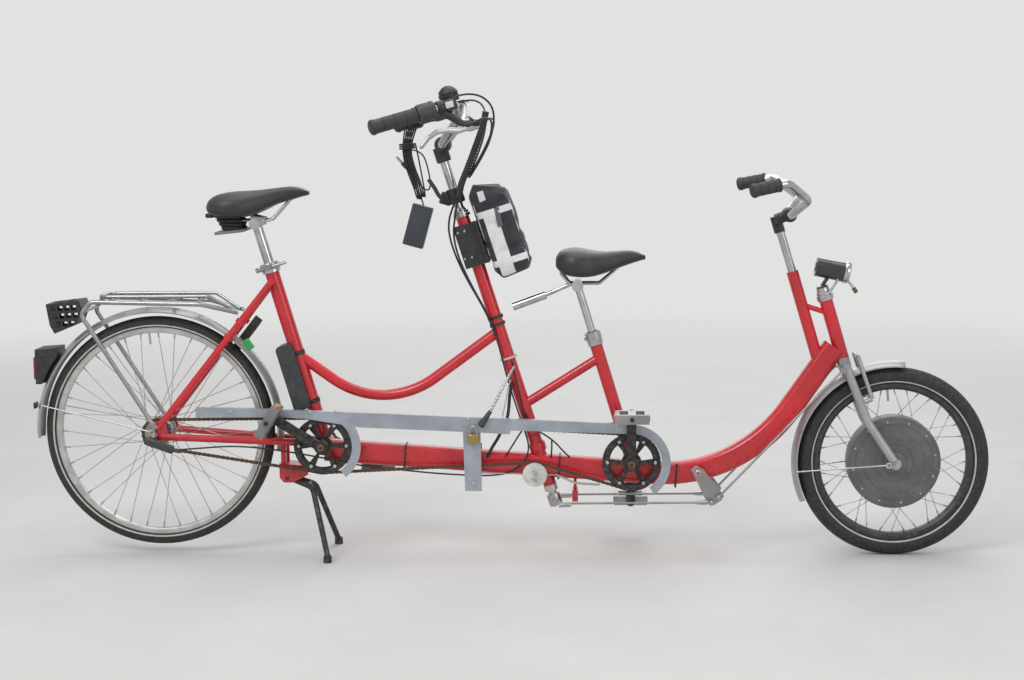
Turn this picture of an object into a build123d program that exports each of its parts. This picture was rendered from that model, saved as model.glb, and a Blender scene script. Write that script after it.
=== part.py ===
from build123d import *
import os
from math import asin, atan2, cos, degrees, hypot, pi, radians, sin, sqrt

os.makedirs("parts", exist_ok=True)

# Electric tandem bicycle for an adult behind, who steers, and a child in front.
# Millimetres. +X forward, +Y to the rider's left, +Z up, the floor at Z = 0.
# X is written from the rear axle, and save() moves the whole to its origin.

# Wheels
WHEELBASE = 1938.0
REAR_TYRE_R = 307.0
REAR_TYRE_W = 37.0
FRONT_TYRE_R = 249.0
FRONT_TYRE_W = 47.0
STAND_LIFT = 26.0
REAR_RIM_R = 278.0
REAR_RIM_IN_R = 262.0
REAR_RIM_W = 25.0
FRONT_RIM_R = 207.0
FRONT_RIM_IN_R = 190.0
FRONT_RIM_W = 30.0
RIM_CHAMFER = 5.0
SPOKES = 36
SPOKE_R = 1.1
REAR_SPOKE_LEAD = 62.0
FRONT_SPOKE_LEAD = 14.0
SPOKE_SINK = 2.0
REAR_HUB_R = 31.0
REAR_FLANGE_R = 36.0
REAR_FLANGE_Y = 27.0
REAR_FLANGE_T = 4.0
REAR_DRIVER_R = 20.0
REAR_HUB_LEFT = 40.0
SPROCKET_BORE_R = 18.0
MOTOR_R = 122.0
MOTOR_W = 58.0
MOTOR_STEP = 6.0
MOTOR_BOSS_R = 26.0
MOTOR_BOSS = 6.0
FRONT_FLANGE_Y = 20.0
REAR_AXLE_R = 5.0
REAR_AXLE_HALF = 88.0
FRONT_AXLE_R = 6.0
FRONT_AXLE_HALF = 78.0
REAR_Z = REAR_TYRE_R + STAND_LIFT
FRONT_Z = FRONT_TYRE_R

# Clearances
SEAT_GAP = 0.3
RUN_GAP = 0.5
BEARING_GAP = 0.05
OVERCUT = 5.0

# Mudguards
GUARD_T = 1.6
GUARD_SAG = 11.0
REAR_GUARD_R = 332.0
REAR_GUARD_W = 56.0
REAR_GUARD_TAIL = -93.0
REAR_GUARD_FRONT = 99.0
FRONT_GUARD_R = 266.0
FRONT_GUARD_W = 60.0
FRONT_GUARD_TAIL = -114.0
FRONT_GUARD_FRONT = 6.0
STAY_WIRE_R = 2.0

# Frame tubes: radius of each, and the height of the low main tube
SEAT_TUBE_R = 19.0
TOP_TUBE_R = 14.5
COLUMN_R = 17.5
BRACE_R = 12.5
FRONT_SEAT_TUBE_R = 16.5
HEAD_TUBE_R = 17.5
BAR_TUBE_R = 15.5
MAIN_H = 60.0
MAIN_W = 44.0
MAIN_CORNER = 16.0
SHELL_R = 21.0
SHELL_HALF = 34.0
SEAT_STAY_R = 9.0
CHAIN_STAY_R = 9.5
DROPOUT_Y = 65.0
DROPOUT_T = 5.0

# Points in the frame's middle plane: x from the rear axle, and height
REAR_BB = (441.0, 300.0)
FRONT_BB = (1252.0, 255.0)
SEAT_TUBE_TOP = (305.0, 766.0)
COLUMN_TOP = (813.0, 897.0)
COLUMN_FOOT = (1037.0, 187.0)
FRONT_SEAT_TOP = (1155.0, 577.0)
HEAD_TOP = (1759.0, 674.0)
HEAD_FOOT = (1803.0, 524.0)
BAR_TUBE_TOP = (1671.0, 750.0)
BRACE_LOW = (966.0, 398.0)
BRACE_HIGH = (1171.0, 526.0)
MAIN_KNEE = (1538.0, 202.0)
MAIN_BEND_R = 400.0
MAIN_TOP = (1782.0, 552.0)
MAIN_START = (441.0, 281.0)
TOP_TUBE_REAR = (352.0, 552.0)
TOP_TUBE_LOW = (600.0, 374.0)
TOP_TUBE_FRONT = (902.0, 594.0)
TOP_TUBE_BEND_R = 229.0
STAY_TOP = (312.0, 733.0)
STAY_TOP_Y = 24.0

# Cranks, chain and its guard
REAR_CRANK_L = 150.0
FRONT_CRANK_L = 132.0
REAR_CRANK_ANGLE = 148.0
FRONT_CRANK_ANGLE = 90.0
CHAIN_Y = -48.0
CHAIN_PITCH = 12.7
RING_TEETH = 36
SPROCKET_TEETH = 18
RING_T = 2.0
TOOTH_H = 3.6
TOOTH_ROOT = 3.6
TOOTH_TIP = 1.2
CHAIN_H = 8.6
CHAIN_PLATE_T = 1.4
CHAIN_INNER_W = 3.6
ARM_Y = 80.0
ARM_T = 12.0
ARM_W = 24.0
CRANK_AXLE_R = 8.0
PEDAL_L = 84.0
PEDAL_W = 88.0
PEDAL_T = 24.0
PEDAL_PIN_R = 5.5
IDLER = (999.0, 222.0)
IDLER_R = 32.0
CHAIN_GUARD_Y = -65.0
CHAIN_GUARD_T = 2.0

# Stand
STAND_PIVOT = (342.0, 208.0)
STAND_PIN_R = 5.0
STAND_FOOT_Y = 110.0
STAND_LEG_R = 7.5

# Steering linkage
LEVER_Y = 60.0
ROD_R = 3.0
CRANK_PIVOT = (1425.0, 228.0)
TIE_JOINT = (1460.0, 150.0)
PUSH_JOINT = (1479.0, 164.0)
FORK_JOINT = (1797.0, 497.0)
LINK_PIN_R = 3.0
LINK_EYE_R = 8.0
LINK_EYE_W = 8.0
LINK_PLATE_T = 5.0
LEVER_DROP = 42.0
LEVER_R = 6.0
FORK_PIN_R = 5.0
LEVER_EYE_GAP = 1.0
FORK_EYE_GAP = 5.0

REAR_AXLE_X = -(WHEELBASE + FRONT_TYRE_R - REAR_GUARD_R) / 2


def pt(xz, y=0.0):
    return Vector(xz[0], y, xz[1])


def save(name, shape):
    export_step(Pos(REAR_AXLE_X, 0, 0) * shape, "parts/" + name + ".step")


def bar(a, b, r):
    a, b = Vector(a), Vector(b)
    return Solid.make_cylinder(r, (b - a).length, Plane(origin=a, z_dir=b - a))


def along_y(xz, r, y0, y1):
    return bar(pt(xz, y0), pt(xz, y1), r)


def line_at(a, b, z):
    # the x of the line through a and b at a height
    return a[0] + (b[0] - a[0]) * (z - a[1]) / (b[1] - a[1])


def beyond(a, b, d):
    # the point d past b on the line from a
    n = hypot(b[0] - a[0], b[1] - a[1])
    return (b[0] + (b[0] - a[0]) * d / n, b[1] + (b[1] - a[1]) * d / n)


def bent(points, radii, r):
    # a round bar along straight runs joined by arcs
    path = FilletPolyline(*points, radius=radii)
    start = path ^ 0
    ring = Plane(origin=start.position, z_dir=start.z_axis.direction) * Circle(r)
    return sweep(ring, path=path)


def fuse(*shapes):
    whole = shapes[0]
    for s in shapes[1:]:
        whole = whole + s
    return whole


def largest(shape):
    # the one piece that is kept where a cut leaves crumbs
    return max(shape.solids(), key=lambda s: s.volume)


def slab(outline, y0, y1):
    # a plate in the XZ plane between two side distances
    face = make_face(outline)
    return Pos(0, max(y0, y1), 0) * extrude(Plane.XZ * face, abs(y1 - y0))


def flat_poly(points):
    return Polyline(*points, close=True)


def polar(centre, r, angle):
    return (centre[0] + r * cos(radians(angle)), centre[1] + r * sin(radians(angle)))


def mudguard(r, width, centre, tail, front):
    # a curved blade round the wheel, from the tail angle to the front one
    edge = width / 2
    outer = ThreePointArc((-edge, r - GUARD_SAG), (0, r), (edge, r - GUARD_SAG))
    inner = ThreePointArc(
        (edge - GUARD_T, r - GUARD_SAG - GUARD_T / 2),
        (0, r - GUARD_T),
        (-edge + GUARD_T, r - GUARD_SAG - GUARD_T / 2),
    )
    rims = Line(outer @ 1, inner @ 0) + Line(inner @ 1, outer @ 0)
    face = Plane.YZ * make_face([outer, rims, inner])
    blade = revolve(face, Axis.Y, front - tail)
    return Pos(centre[0], 0, centre[1]) * Rot(0, tail, 0) * blade


def tyre(r, width, rim_r, centre):
    h = width / 2
    face = Pos(0, r - h) * Circle(h) - Pos(0, rim_r / 2) * Rectangle(2 * width, rim_r)
    return Pos(*pt(centre)) * revolve(Plane.YZ * face, Axis.Y, 360)


def rim(r, inner, width, centre):
    h = width / 2
    face = make_face(
        flat_poly([(-h, r), (h, r), (h, inner + RIM_CHAMFER), (h - RIM_CHAMFER, inner),
                   (RIM_CHAMFER - h, inner), (-h, inner + RIM_CHAMFER)])
    )
    return Pos(*pt(centre)) * revolve(Plane.YZ * face, Axis.Y, 360)


def spokes(hub_r, flange_y, rim_r, centre, lead):
    # crossed spokes: every other one leans forward, and they take both flanges
    bars = []
    for i in range(SPOKES):
        side = 1 if i % 2 else -1
        lean = lead if (i // 2) % 2 else -lead
        a = 360.0 * i / SPOKES
        low = polar(centre, hub_r, a + lean)
        high = polar(centre, rim_r, a)
        bars.append(hex_bar(pt(low, side * flange_y), pt(high, 0), SPOKE_R))
    return bars


def hex_bar(a, b, r):
    a, b = Vector(a), Vector(b)
    return extrude(Plane(origin=a, z_dir=b - a) * RegularPolygon(r, 6), (b - a).length)


REAR_HUB = (0.0, REAR_Z)
FRONT_HUB = (WHEELBASE, FRONT_Z)

# Rear wheel: tyre, rim with its spokes, geared hub with the sprocket
save("rear_tyre", tyre(REAR_TYRE_R, REAR_TYRE_W, REAR_RIM_R, REAR_HUB))
flange_in = REAR_FLANGE_Y - REAR_FLANGE_T / 2
flange_out = REAR_FLANGE_Y + REAR_FLANGE_T / 2
rear_flanges = fuse(
    along_y(REAR_HUB, REAR_FLANGE_R, -flange_out, -flange_in),
    along_y(REAR_HUB, REAR_FLANGE_R, flange_in, flange_out),
)
rear_rim = fuse(
    rim(REAR_RIM_R, REAR_RIM_IN_R, REAR_RIM_W, REAR_HUB),
    *spokes(REAR_FLANGE_R, REAR_FLANGE_Y, REAR_RIM_IN_R + SPOKE_SINK, REAR_HUB, REAR_SPOKE_LEAD),
)
rear_rim -= along_y(REAR_HUB, REAR_FLANGE_R + SEAT_GAP, -REAR_AXLE_HALF, REAR_AXLE_HALF)
save("rear_rim", rear_rim)


def pitch_radius(teeth):
    return CHAIN_PITCH / (2 * sin(pi / teeth))


def toothed(teeth, centre, y, hole_r):
    # a flat ring of teeth that stand between the chain's side plates
    tip = pitch_radius(teeth) + TOOTH_H
    root = pitch_radius(teeth) - CHAIN_H / 2
    base = root - 1
    disc = Circle(root) - Circle(hole_r)
    tooth = flat_poly([(base, -TOOTH_ROOT), (root, -TOOTH_ROOT), (tip, -TOOTH_TIP),
                       (tip, TOOTH_TIP), (root, TOOTH_ROOT), (base, TOOTH_ROOT)])
    for i in range(teeth):
        disc += Rot(0, 0, 360.0 * (i + 0.5) / teeth) * make_face(tooth)
    plate = extrude(Plane.XZ * disc, RING_T)
    return Pos(centre[0], y + RING_T / 2, centre[1]) * plate


rear_hub = fuse(
    along_y(REAR_HUB, REAR_HUB_R, -REAR_FLANGE_Y, REAR_FLANGE_Y),
    rear_flanges,
    along_y(REAR_HUB, REAR_DRIVER_R, CHAIN_Y, REAR_HUB_LEFT),
    toothed(SPROCKET_TEETH, REAR_HUB, CHAIN_Y, SPROCKET_BORE_R),
)
rear_hub -= along_y(REAR_HUB, REAR_AXLE_R + BEARING_GAP, -REAR_AXLE_HALF, REAR_AXLE_HALF)
save("rear_hub", rear_hub)

# Front wheel: tyre, rim with short spokes, flat hub motor
save("front_tyre", tyre(FRONT_TYRE_R, FRONT_TYRE_W, FRONT_RIM_R, FRONT_HUB))
front_rim = fuse(
    rim(FRONT_RIM_R, FRONT_RIM_IN_R, FRONT_RIM_W, FRONT_HUB),
    *spokes(MOTOR_R - 2 * SPOKE_SINK, FRONT_FLANGE_Y, FRONT_RIM_IN_R + SPOKE_SINK,
            FRONT_HUB, FRONT_SPOKE_LEAD),
)
front_rim -= along_y(FRONT_HUB, MOTOR_R + SEAT_GAP, -FRONT_AXLE_HALF, FRONT_AXLE_HALF)
save("front_rim", front_rim)
motor_half = MOTOR_W / 2
motor_boss_half = motor_half + MOTOR_BOSS
motor = fuse(
    along_y(FRONT_HUB, MOTOR_R - MOTOR_STEP, -motor_half, motor_half),
    along_y(FRONT_HUB, MOTOR_R, -motor_half + MOTOR_STEP, motor_half - MOTOR_STEP),
    along_y(FRONT_HUB, MOTOR_BOSS_R, -motor_boss_half, motor_boss_half),
)
motor -= along_y(FRONT_HUB, FRONT_AXLE_R + BEARING_GAP, -FRONT_AXLE_HALF, FRONT_AXLE_HALF)
save("hub_motor", motor)

# Low main tube: one bent box tube from the rear crank shell to the head tube
main_path = FilletPolyline(pt(MAIN_START), pt(MAIN_KNEE), pt(MAIN_TOP), radius=MAIN_BEND_R)
main_start = main_path ^ 0
main_section = RectangleRounded(MAIN_W, MAIN_H, MAIN_CORNER)
main_way = main_start.z_axis.direction
main_plane = Plane(origin=main_start.position, x_dir=(0, 1, 0), z_dir=main_way)
main_solid = sweep(main_plane * main_section, path=main_path)
shells = fuse(
    along_y(REAR_BB, SHELL_R, -SHELL_HALF, SHELL_HALF),
    along_y(FRONT_BB, SHELL_R, -SHELL_HALF, SHELL_HALF),
)
shell_bores = fuse(
    along_y(REAR_BB, CRANK_AXLE_R + BEARING_GAP, -SHELL_HALF - 5, SHELL_HALF + 5),
    along_y(FRONT_BB, CRANK_AXLE_R + BEARING_GAP, -SHELL_HALF - 5, SHELL_HALF + 5),
)
seat_env = bar(pt(SEAT_TUBE_TOP), pt(REAR_BB), SEAT_TUBE_R)
column_env = bar(pt(COLUMN_TOP), pt(COLUMN_FOOT), COLUMN_R)
head_env = bar(pt(HEAD_TOP), pt(HEAD_FOOT), HEAD_TUBE_R)
front_seat_env = bar(pt(FRONT_SEAT_TOP), pt(FRONT_BB), FRONT_SEAT_TUBE_R)
PIVOT_BOSS_R = 11.0
PIVOT_BOSS = 6.0
PIVOT_PIN_R = 4.0
PIVOT_PIN_END = 8.0
pivot_boss = along_y(CRANK_PIVOT, PIVOT_BOSS_R, -MAIN_W / 2 - PIVOT_BOSS, MAIN_W / 2 + PIVOT_BOSS)
pivot_pin = along_y(CRANK_PIVOT, PIVOT_PIN_R, -LEVER_Y - PIVOT_PIN_END, LEVER_Y + PIVOT_PIN_END)
# a post below the tube carries the guide block that lies between the two long rods
GUIDE_X = 1104.0
GUIDE_POST_R = 4.0
GUIDE_BLOCK = (15.0, 60.0, 30.0)
GUIDE_Z = 161.0
guide = bar(pt((GUIDE_X, MAIN_START[1] - MAIN_H)), pt((GUIDE_X, GUIDE_Z)), GUIDE_POST_R)
guide += Pos(GUIDE_X, 0, GUIDE_Z) * Box(*GUIDE_BLOCK)
CROWN_ROOM = 6.0
crown_end = beyond(HEAD_TOP, HEAD_FOOT, 10 * CROWN_ROOM)
fork_room = bar(pt(HEAD_FOOT), pt(crown_end), HEAD_TUBE_R + CROWN_ROOM)
main_tube = main_solid + shells + pivot_boss + pivot_pin + guide - shell_bores - column_env - head_env
main_tube = largest(main_tube - fork_room)
save("main_tube", main_tube)
main_block = main_solid + shells

# Seat tube of the rear rider, open at the top for the post
POST_R = 13.5
POST_IN = 70.0
SEAT_POST_TOP = (line_at(SEAT_TUBE_TOP, REAR_BB, 884.0), 884.0)
rear_post_foot = beyond(SEAT_POST_TOP, SEAT_TUBE_TOP, POST_IN)
seat_bore = bar(pt(beyond(rear_post_foot, SEAT_TUBE_TOP, OVERCUT)), pt(rear_post_foot), POST_R + SEAT_GAP)
rear_seat_tube = seat_env - main_block - seat_bore
save("rear_seat_tube", rear_seat_tube)

# Swooping top tube from the seat tube to the steering column
top_tube = bent([pt(TOP_TUBE_REAR), pt(TOP_TUBE_LOW), pt(TOP_TUBE_FRONT)], TOP_TUBE_BEND_R, TOP_TUBE_R)
save("top_tube", largest(top_tube - seat_env - column_env))

# Steering column tube, hollow for its shaft
SHAFT_R = 11.0
COLUMN_WALL = 3.5
COLUMN_CUP = 12.0
above_column = pt(beyond(COLUMN_FOOT, COLUMN_TOP, OVERCUT))
below_column = pt(beyond(COLUMN_TOP, COLUMN_FOOT, OVERCUT))
column_bore = bar(above_column, below_column, COLUMN_R - COLUMN_WALL)
bearing_top = bar(pt(COLUMN_TOP), pt(beyond(COLUMN_FOOT, COLUMN_TOP, -COLUMN_CUP)), COLUMN_R - 1)
bearing_foot = bar(pt(COLUMN_FOOT), pt(beyond(COLUMN_TOP, COLUMN_FOOT, -COLUMN_CUP)), COLUMN_R - 1)
column_tube = column_env - column_bore + bearing_top + bearing_foot
column_tube -= bar(above_column, below_column, SHAFT_R + BEARING_GAP)
save("column_tube", column_tube)

# Front seat tube with its brace to the column
FRONT_POST_R = 10.5
FRONT_POST_IN = 60.0
FRONT_POST_TOP = (line_at(FRONT_SEAT_TOP, FRONT_BB, 716.0), 716.0)
front_post_foot = beyond(FRONT_POST_TOP, FRONT_SEAT_TOP, FRONT_POST_IN)
front_mouth = beyond(front_post_foot, FRONT_SEAT_TOP, OVERCUT)
front_bore = bar(pt(front_mouth), pt(front_post_foot), FRONT_POST_R + SEAT_GAP)
front_seat_tube = front_seat_env - main_block - front_bore
brace = bar(pt(BRACE_LOW), pt(BRACE_HIGH), BRACE_R) - column_env - front_seat_env
save("front_seat_tube", front_seat_tube + largest(brace))

# Head tube, and the child's handlebar tube behind it
STEERER_R = 11.0
above_head = pt(beyond(HEAD_FOOT, HEAD_TOP, OVERCUT))
below_head = pt(beyond(HEAD_TOP, HEAD_FOOT, OVERCUT))
save("head_tube", head_env - bar(above_head, below_head, STEERER_R + BEARING_GAP))
BAR_TUBE_FOOT = (1741.0, 512.0)
BRIDGE_REAR = (1700.0, 662.0)
BRIDGE_FRONT = (1765.0, 640.0)
BRIDGE_R = 7.0
BAR_POST_R = 11.0
BAR_POST_IN = 60.0
FRONT_QUILL_TOP = (1637.0, 862.0)
bar_tube = bar(pt(BAR_TUBE_TOP), pt(BAR_TUBE_FOOT), BAR_TUBE_R)
bar_tube += bar(pt(BRIDGE_REAR), pt(BRIDGE_FRONT), BRIDGE_R)
quill_foot = beyond(FRONT_QUILL_TOP, BAR_TUBE_TOP, BAR_POST_IN)
quill_mouth = beyond(quill_foot, BAR_TUBE_TOP, OVERCUT)
bar_tube -= bar(pt(quill_mouth), pt(quill_foot), BAR_POST_R + SEAT_GAP)
save("bar_tube", largest(bar_tube - head_env - main_solid))

# Rear triangle: stays, dropouts and the stand's box under the chain stays
SEAT_STAY_FOOT = (8.0, REAR_Z + 16.0)
CHAIN_STAY_FOOT = (18.0, REAR_Z - 6.0)
CHAIN_STAY_TOP = (REAR_BB[0] - 12.0, REAR_BB[1] + 2.0)
CHAIN_STAY_TOP_Y = 26.0
STAY_BRIDGE_R = 6.0
STAY_BRIDGE_Y = 40.0
# the dropout's corners from the hub: ahead, up
DROPOUT_EDGE = [(-12, -14), (30, -16), (34, 2), (26, 34), (8, 36), (-12, 12)]
stays = []
for side in (-1, 1):
    y = side * (DROPOUT_Y + DROPOUT_T / 2)
    stays.append(bar(pt(SEAT_STAY_FOOT, y), pt(STAY_TOP, side * STAY_TOP_Y), SEAT_STAY_R))
    stays.append(bar(pt(CHAIN_STAY_FOOT, y), pt(CHAIN_STAY_TOP, side * CHAIN_STAY_TOP_Y), CHAIN_STAY_R))
    edge = flat_poly([(REAR_HUB[0] + x, REAR_Z + z) for x, z in DROPOUT_EDGE])
    stays.append(slab(edge, side * DROPOUT_Y, side * (DROPOUT_Y + DROPOUT_T)))
bridge_half = STAY_TOP_Y + SEAT_STAY_R - 1
bridge_top = along_y(STAY_TOP, SEAT_STAY_R, -bridge_half, bridge_half)
stay_rise = STAY_TOP[1] - SEAT_STAY_FOOT[1]
stay_slope = degrees(atan2(stay_rise, STAY_TOP[0] - SEAT_STAY_FOOT[0]))
# the mudguard's bridge lies just outside it, where the stays pass
BRIDGE_TURN = 0.6
stay_bridge = polar(REAR_HUB, REAR_GUARD_R + SEAT_GAP + STAY_BRIDGE_R, stay_slope + BRIDGE_TURN)
guard_bridge = along_y(stay_bridge, STAY_BRIDGE_R, -STAY_BRIDGE_Y, STAY_BRIDGE_Y)
BOX_Y = 30.0
BOX_PLATE = 5.0
BOX_TOP_Z = 236.0
BOX_ROOM = (90.0, 2 * (BOX_Y - BOX_PLATE), 60.0)
POST_PLATE = 8.0
BOX_EDGE = [(321, 248), (397, 242), (397, 218), (356, 197), (332, 197), (321, 210)]
POST_EDGE = [(326, 306), (340, 306), (340, 240), (326, 240)]
stand_box = slab(flat_poly(BOX_EDGE), -BOX_Y, BOX_Y)
stand_box -= Pos(BOX_EDGE[3][0] + 4, 0, BOX_TOP_Z - BOX_ROOM[2] / 2) * Box(*BOX_ROOM)
post_room_y = BOX_Y - POST_PLATE
stand_post = slab(flat_poly(POST_EDGE), -BOX_Y, BOX_Y)
stand_post -= Pos(POST_EDGE[0][0] + 7, 0, POST_EDGE[0][1] - 30) * Box(60, 2 * post_room_y, 60)
rear_stays = fuse(*stays, bridge_top, guard_bridge, stand_box, stand_post)
rear_stays -= seat_env
rear_stays -= main_block
rear_stays -= along_y(REAR_HUB, REAR_AXLE_R + SEAT_GAP, -REAR_AXLE_HALF, REAR_AXLE_HALF)
rear_stays -= along_y(STAND_PIVOT, STAND_PIN_R + BEARING_GAP, -BOX_Y - OVERCUT, BOX_Y + OVERCUT)
save("rear_stays", rear_stays)

# Rear axle with its nuts
NUT_R = 9.0
NUT_H = 9.0
SPACER_R = 8.0
rear_axle = along_y(REAR_HUB, REAR_AXLE_R, -REAR_AXLE_HALF, REAR_AXLE_HALF)
# side, where the spacer starts beside the hub
for side, spacer_y in ((-1, -CHAIN_Y + RING_T), (1, REAR_HUB_LEFT + 1)):
    face_y = side * (DROPOUT_Y + DROPOUT_T + SEAT_GAP)
    rear_axle += hex_bar(pt(REAR_HUB, face_y), pt(REAR_HUB, face_y + side * NUT_H), NUT_R)
    rear_axle += along_y(REAR_HUB, SPACER_R, side * spacer_y, side * (DROPOUT_Y - SEAT_GAP))
save("rear_axle", rear_axle)

# Rear mudguard with its wire stays to the dropouts
REAR_STAY_AT = 167.0
REAR_STAY_FOOT = (-6.0, REAR_Z + 8.0)
STAY_INSIDE = 0.5
STAY_RISE = 3.0
rear_guard = mudguard(REAR_GUARD_R, REAR_GUARD_W, REAR_HUB, REAR_GUARD_TAIL, REAR_GUARD_FRONT)
stay_end = polar(REAR_HUB, REAR_GUARD_R - GUARD_SAG + STAY_RISE, REAR_STAY_AT)
for side in (-1, 1):
    low = pt(REAR_STAY_FOOT, side * (DROPOUT_Y + DROPOUT_T + STAY_WIRE_R + SEAT_GAP))
    rear_guard += bar(low, pt(stay_end, side * (REAR_GUARD_W / 2 - STAY_INSIDE)), STAY_WIRE_R)
rear_guard -= rear_stays
save("rear_mudguard", rear_guard)

# Rack: a leg and side rail in one tube each side, a loop above, and cross bars
RACK_LEG_R = 6.0
RACK_RAIL_R = 5.0
RACK_BAR_R = 4.5
LEG_Y = DROPOUT_Y + DROPOUT_T + RACK_LEG_R + SEAT_GAP
RACK_BENDS = [18, 18, 70]
RACK_LOOP_BEND = 24.0
RACK_BARS_X = (-110.0, -30.0, 50.0, 125.0)
RACK_BARS_Z = 687.0
RACK_BARS_HALF = 64.0
RACK_TAIL = (-178.0, 660.0)
RACK_TAIL_HALF = 73.0
# x, height, side distance: the leg and rail of one side, then half of the loop above
RACK_LEG = [(-4, 362, LEG_Y), (-185, 652, 74), (-160, 684, 68), (130, 676, 60), (224, 652, 42)]
RACK_LOOP = [(216, 656, 33), (150, 696, 50), (-140, 696, 50)]
rack_parts = []
for side in (-1, 1):
    leg = [pt((x, z), side * y) for x, z, y in RACK_LEG]
    rack_parts.append(bent(leg, RACK_BENDS, RACK_LEG_R))
loop = [pt((x, z), -y) for x, z, y in RACK_LOOP] + [pt((x, z), y) for x, z, y in reversed(RACK_LOOP)]
rack_parts.append(bent(loop, RACK_LOOP_BEND, RACK_RAIL_R))
for x in RACK_BARS_X:
    rack_parts.append(along_y((x, RACK_BARS_Z), RACK_BAR_R, -RACK_BARS_HALF, RACK_BARS_HALF))
rack_parts.append(along_y(RACK_TAIL, RACK_RAIL_R, -RACK_TAIL_HALF, RACK_TAIL_HALF))
save("rack", largest(fuse(*rack_parts) - rear_stays))

# Black plastic lattice bracket behind the rack
BRACKET_Y = 42.0
BRACKET_T = 4.0
BRACKET_EDGE = [(-286, 676), (-198, 686), (-190, 664), (-206, 622), (-265, 598), (-277, 620)]
BRACKET_ROOM = [(-280, 671), (-202, 680), (-196, 663), (-210, 627), (-262, 605), (-272, 622)]
# windows in the two sides: row height, first x, count; then the slots in the top and bottom
BRACKET_ROWS = [(664, -266, 4), (644, -262, 4), (623, -254, 3)]
WINDOW = 13.0
WINDOW_PITCH = 18.0
SLOTS_Y = (-27.0, -9.0, 9.0, 27.0)
bracket = slab(flat_poly(BRACKET_EDGE), -BRACKET_Y, BRACKET_Y)
bracket -= slab(flat_poly(BRACKET_ROOM), -BRACKET_Y + BRACKET_T, BRACKET_Y - BRACKET_T)
for z, first_x, count in BRACKET_ROWS:
    for k in range(count):
        bracket -= Pos(first_x + k * WINDOW_PITCH, 0, z + k) * Box(WINDOW, 3 * BRACKET_Y, WINDOW)
for y in SLOTS_Y:
    for x in (-256.0, -226.0):
        bracket -= Pos(x, y, 640) * Box(2 * WINDOW_PITCH - 12, WINDOW, 200)
bracket -= along_y(RACK_TAIL, RACK_RAIL_R + SEAT_GAP, -2 * BRACKET_Y, 2 * BRACKET_Y)
save("tail_bracket", largest(bracket))

# Tail lamp on the mudguard: black body and red lens
LAMP_Y = 42.0
LENS_Y = 37.0
LENS_T = 6.0
LAMP_X = -320.0
LAMP_EDGE = [(LAMP_X, 556), (-262, 560), (-262, 500), (-300, 464), (LAMP_X, 464)]
LENS_EDGE = [(LAMP_X, 540), (LAMP_X, 472), (LAMP_X - LENS_T, 480), (LAMP_X - LENS_T, 532)]
lamp = slab(flat_poly(LAMP_EDGE), -LAMP_Y, LAMP_Y)
lamp -= along_y(REAR_HUB, REAR_GUARD_R + SEAT_GAP, -2 * LAMP_Y, 2 * LAMP_Y)
save("tail_lamp", largest(lamp))
save("tail_lens", slab(flat_poly(LENS_EDGE), -LENS_Y, LENS_Y))

# Ring lock round the wheel, ahead of the stays
LOCK_W = 124.0
LOCK_L = 150.0
LOCK_T = 22.0
LOCK_SLOT = 76.0
LOCK_CORNER = 40.0
LOCK_CROWN = 45.0
LOCK_AT = (212.0, 581.0)
lock_way = (sin(radians(stay_slope)), 0, -cos(radians(stay_slope)))
lock_plane = Plane(origin=pt(LOCK_AT), x_dir=(0, 1, 0), z_dir=lock_way)
lock_face = RectangleRounded(LOCK_W, LOCK_L, LOCK_CORNER)
lock_face -= Pos(0, -LOCK_CROWN / 2) * Rectangle(LOCK_SLOT, 2 * (LOCK_L - LOCK_CROWN))
lock = extrude(lock_plane * lock_face, LOCK_T) - rear_stays
save("ring_lock", largest(lock))

# Rear seat post with its collar, rails and clamp; saddle
rear_post = bar(pt(rear_post_foot), pt(SEAT_POST_TOP), POST_R)
collar_from, collar_to = beyond(SEAT_POST_TOP, SEAT_TUBE_TOP, 12), beyond(REAR_BB, SEAT_TUBE_TOP, 14)
collar = bar(pt(collar_from), pt(collar_to), SEAT_TUBE_R + 5)
collar -= rear_seat_tube
RAIL_R = 3.5
RAIL_Y = 22.0


def saddle_rails(clamp, points):
    # two bent rails under the saddle and the clamp block on the post
    block = along_y(clamp, 15, -RAIL_Y - 8, RAIL_Y + 8)
    for side in (-1, 1):
        path = [pt(points[0], side * 34), pt(points[1], side * RAIL_Y), pt(points[2], side * RAIL_Y)]
        block += bent(path + [pt(points[3], side * 9)], 12, RAIL_R)
    return block


def saddle(sections):
    # sections: x, half width, top, underside
    faces = []
    for x, half, top, low in sections:
        face = RectangleRounded(2 * half, top - low, 0.46 * (top - low))
        faces.append(Plane(origin=(x, 0, (top + low) / 2), x_dir=(0, 1, 0), z_dir=(1, 0, 0)) * face)
    return loft(faces, ruled=True)


REAR_SADDLE = [
    (150, 58, 938, 914),
    (172, 84, 956, 908),
    (215, 95, 964, 906),
    (265, 80, 967, 912),
    (320, 46, 976, 928),
    (375, 27, 981, 944),
    (410, 17, 970, 950),
]
rear_rails = saddle_rails(SEAT_POST_TOP, [(186, 916), (218, 892), (312, 892), (372, 956)])
rear_seat_post = rear_post + collar + rear_rails
save("rear_seat_post", rear_seat_post)
save("rear_saddle", largest(saddle(REAR_SADDLE) - rear_rails))

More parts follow.
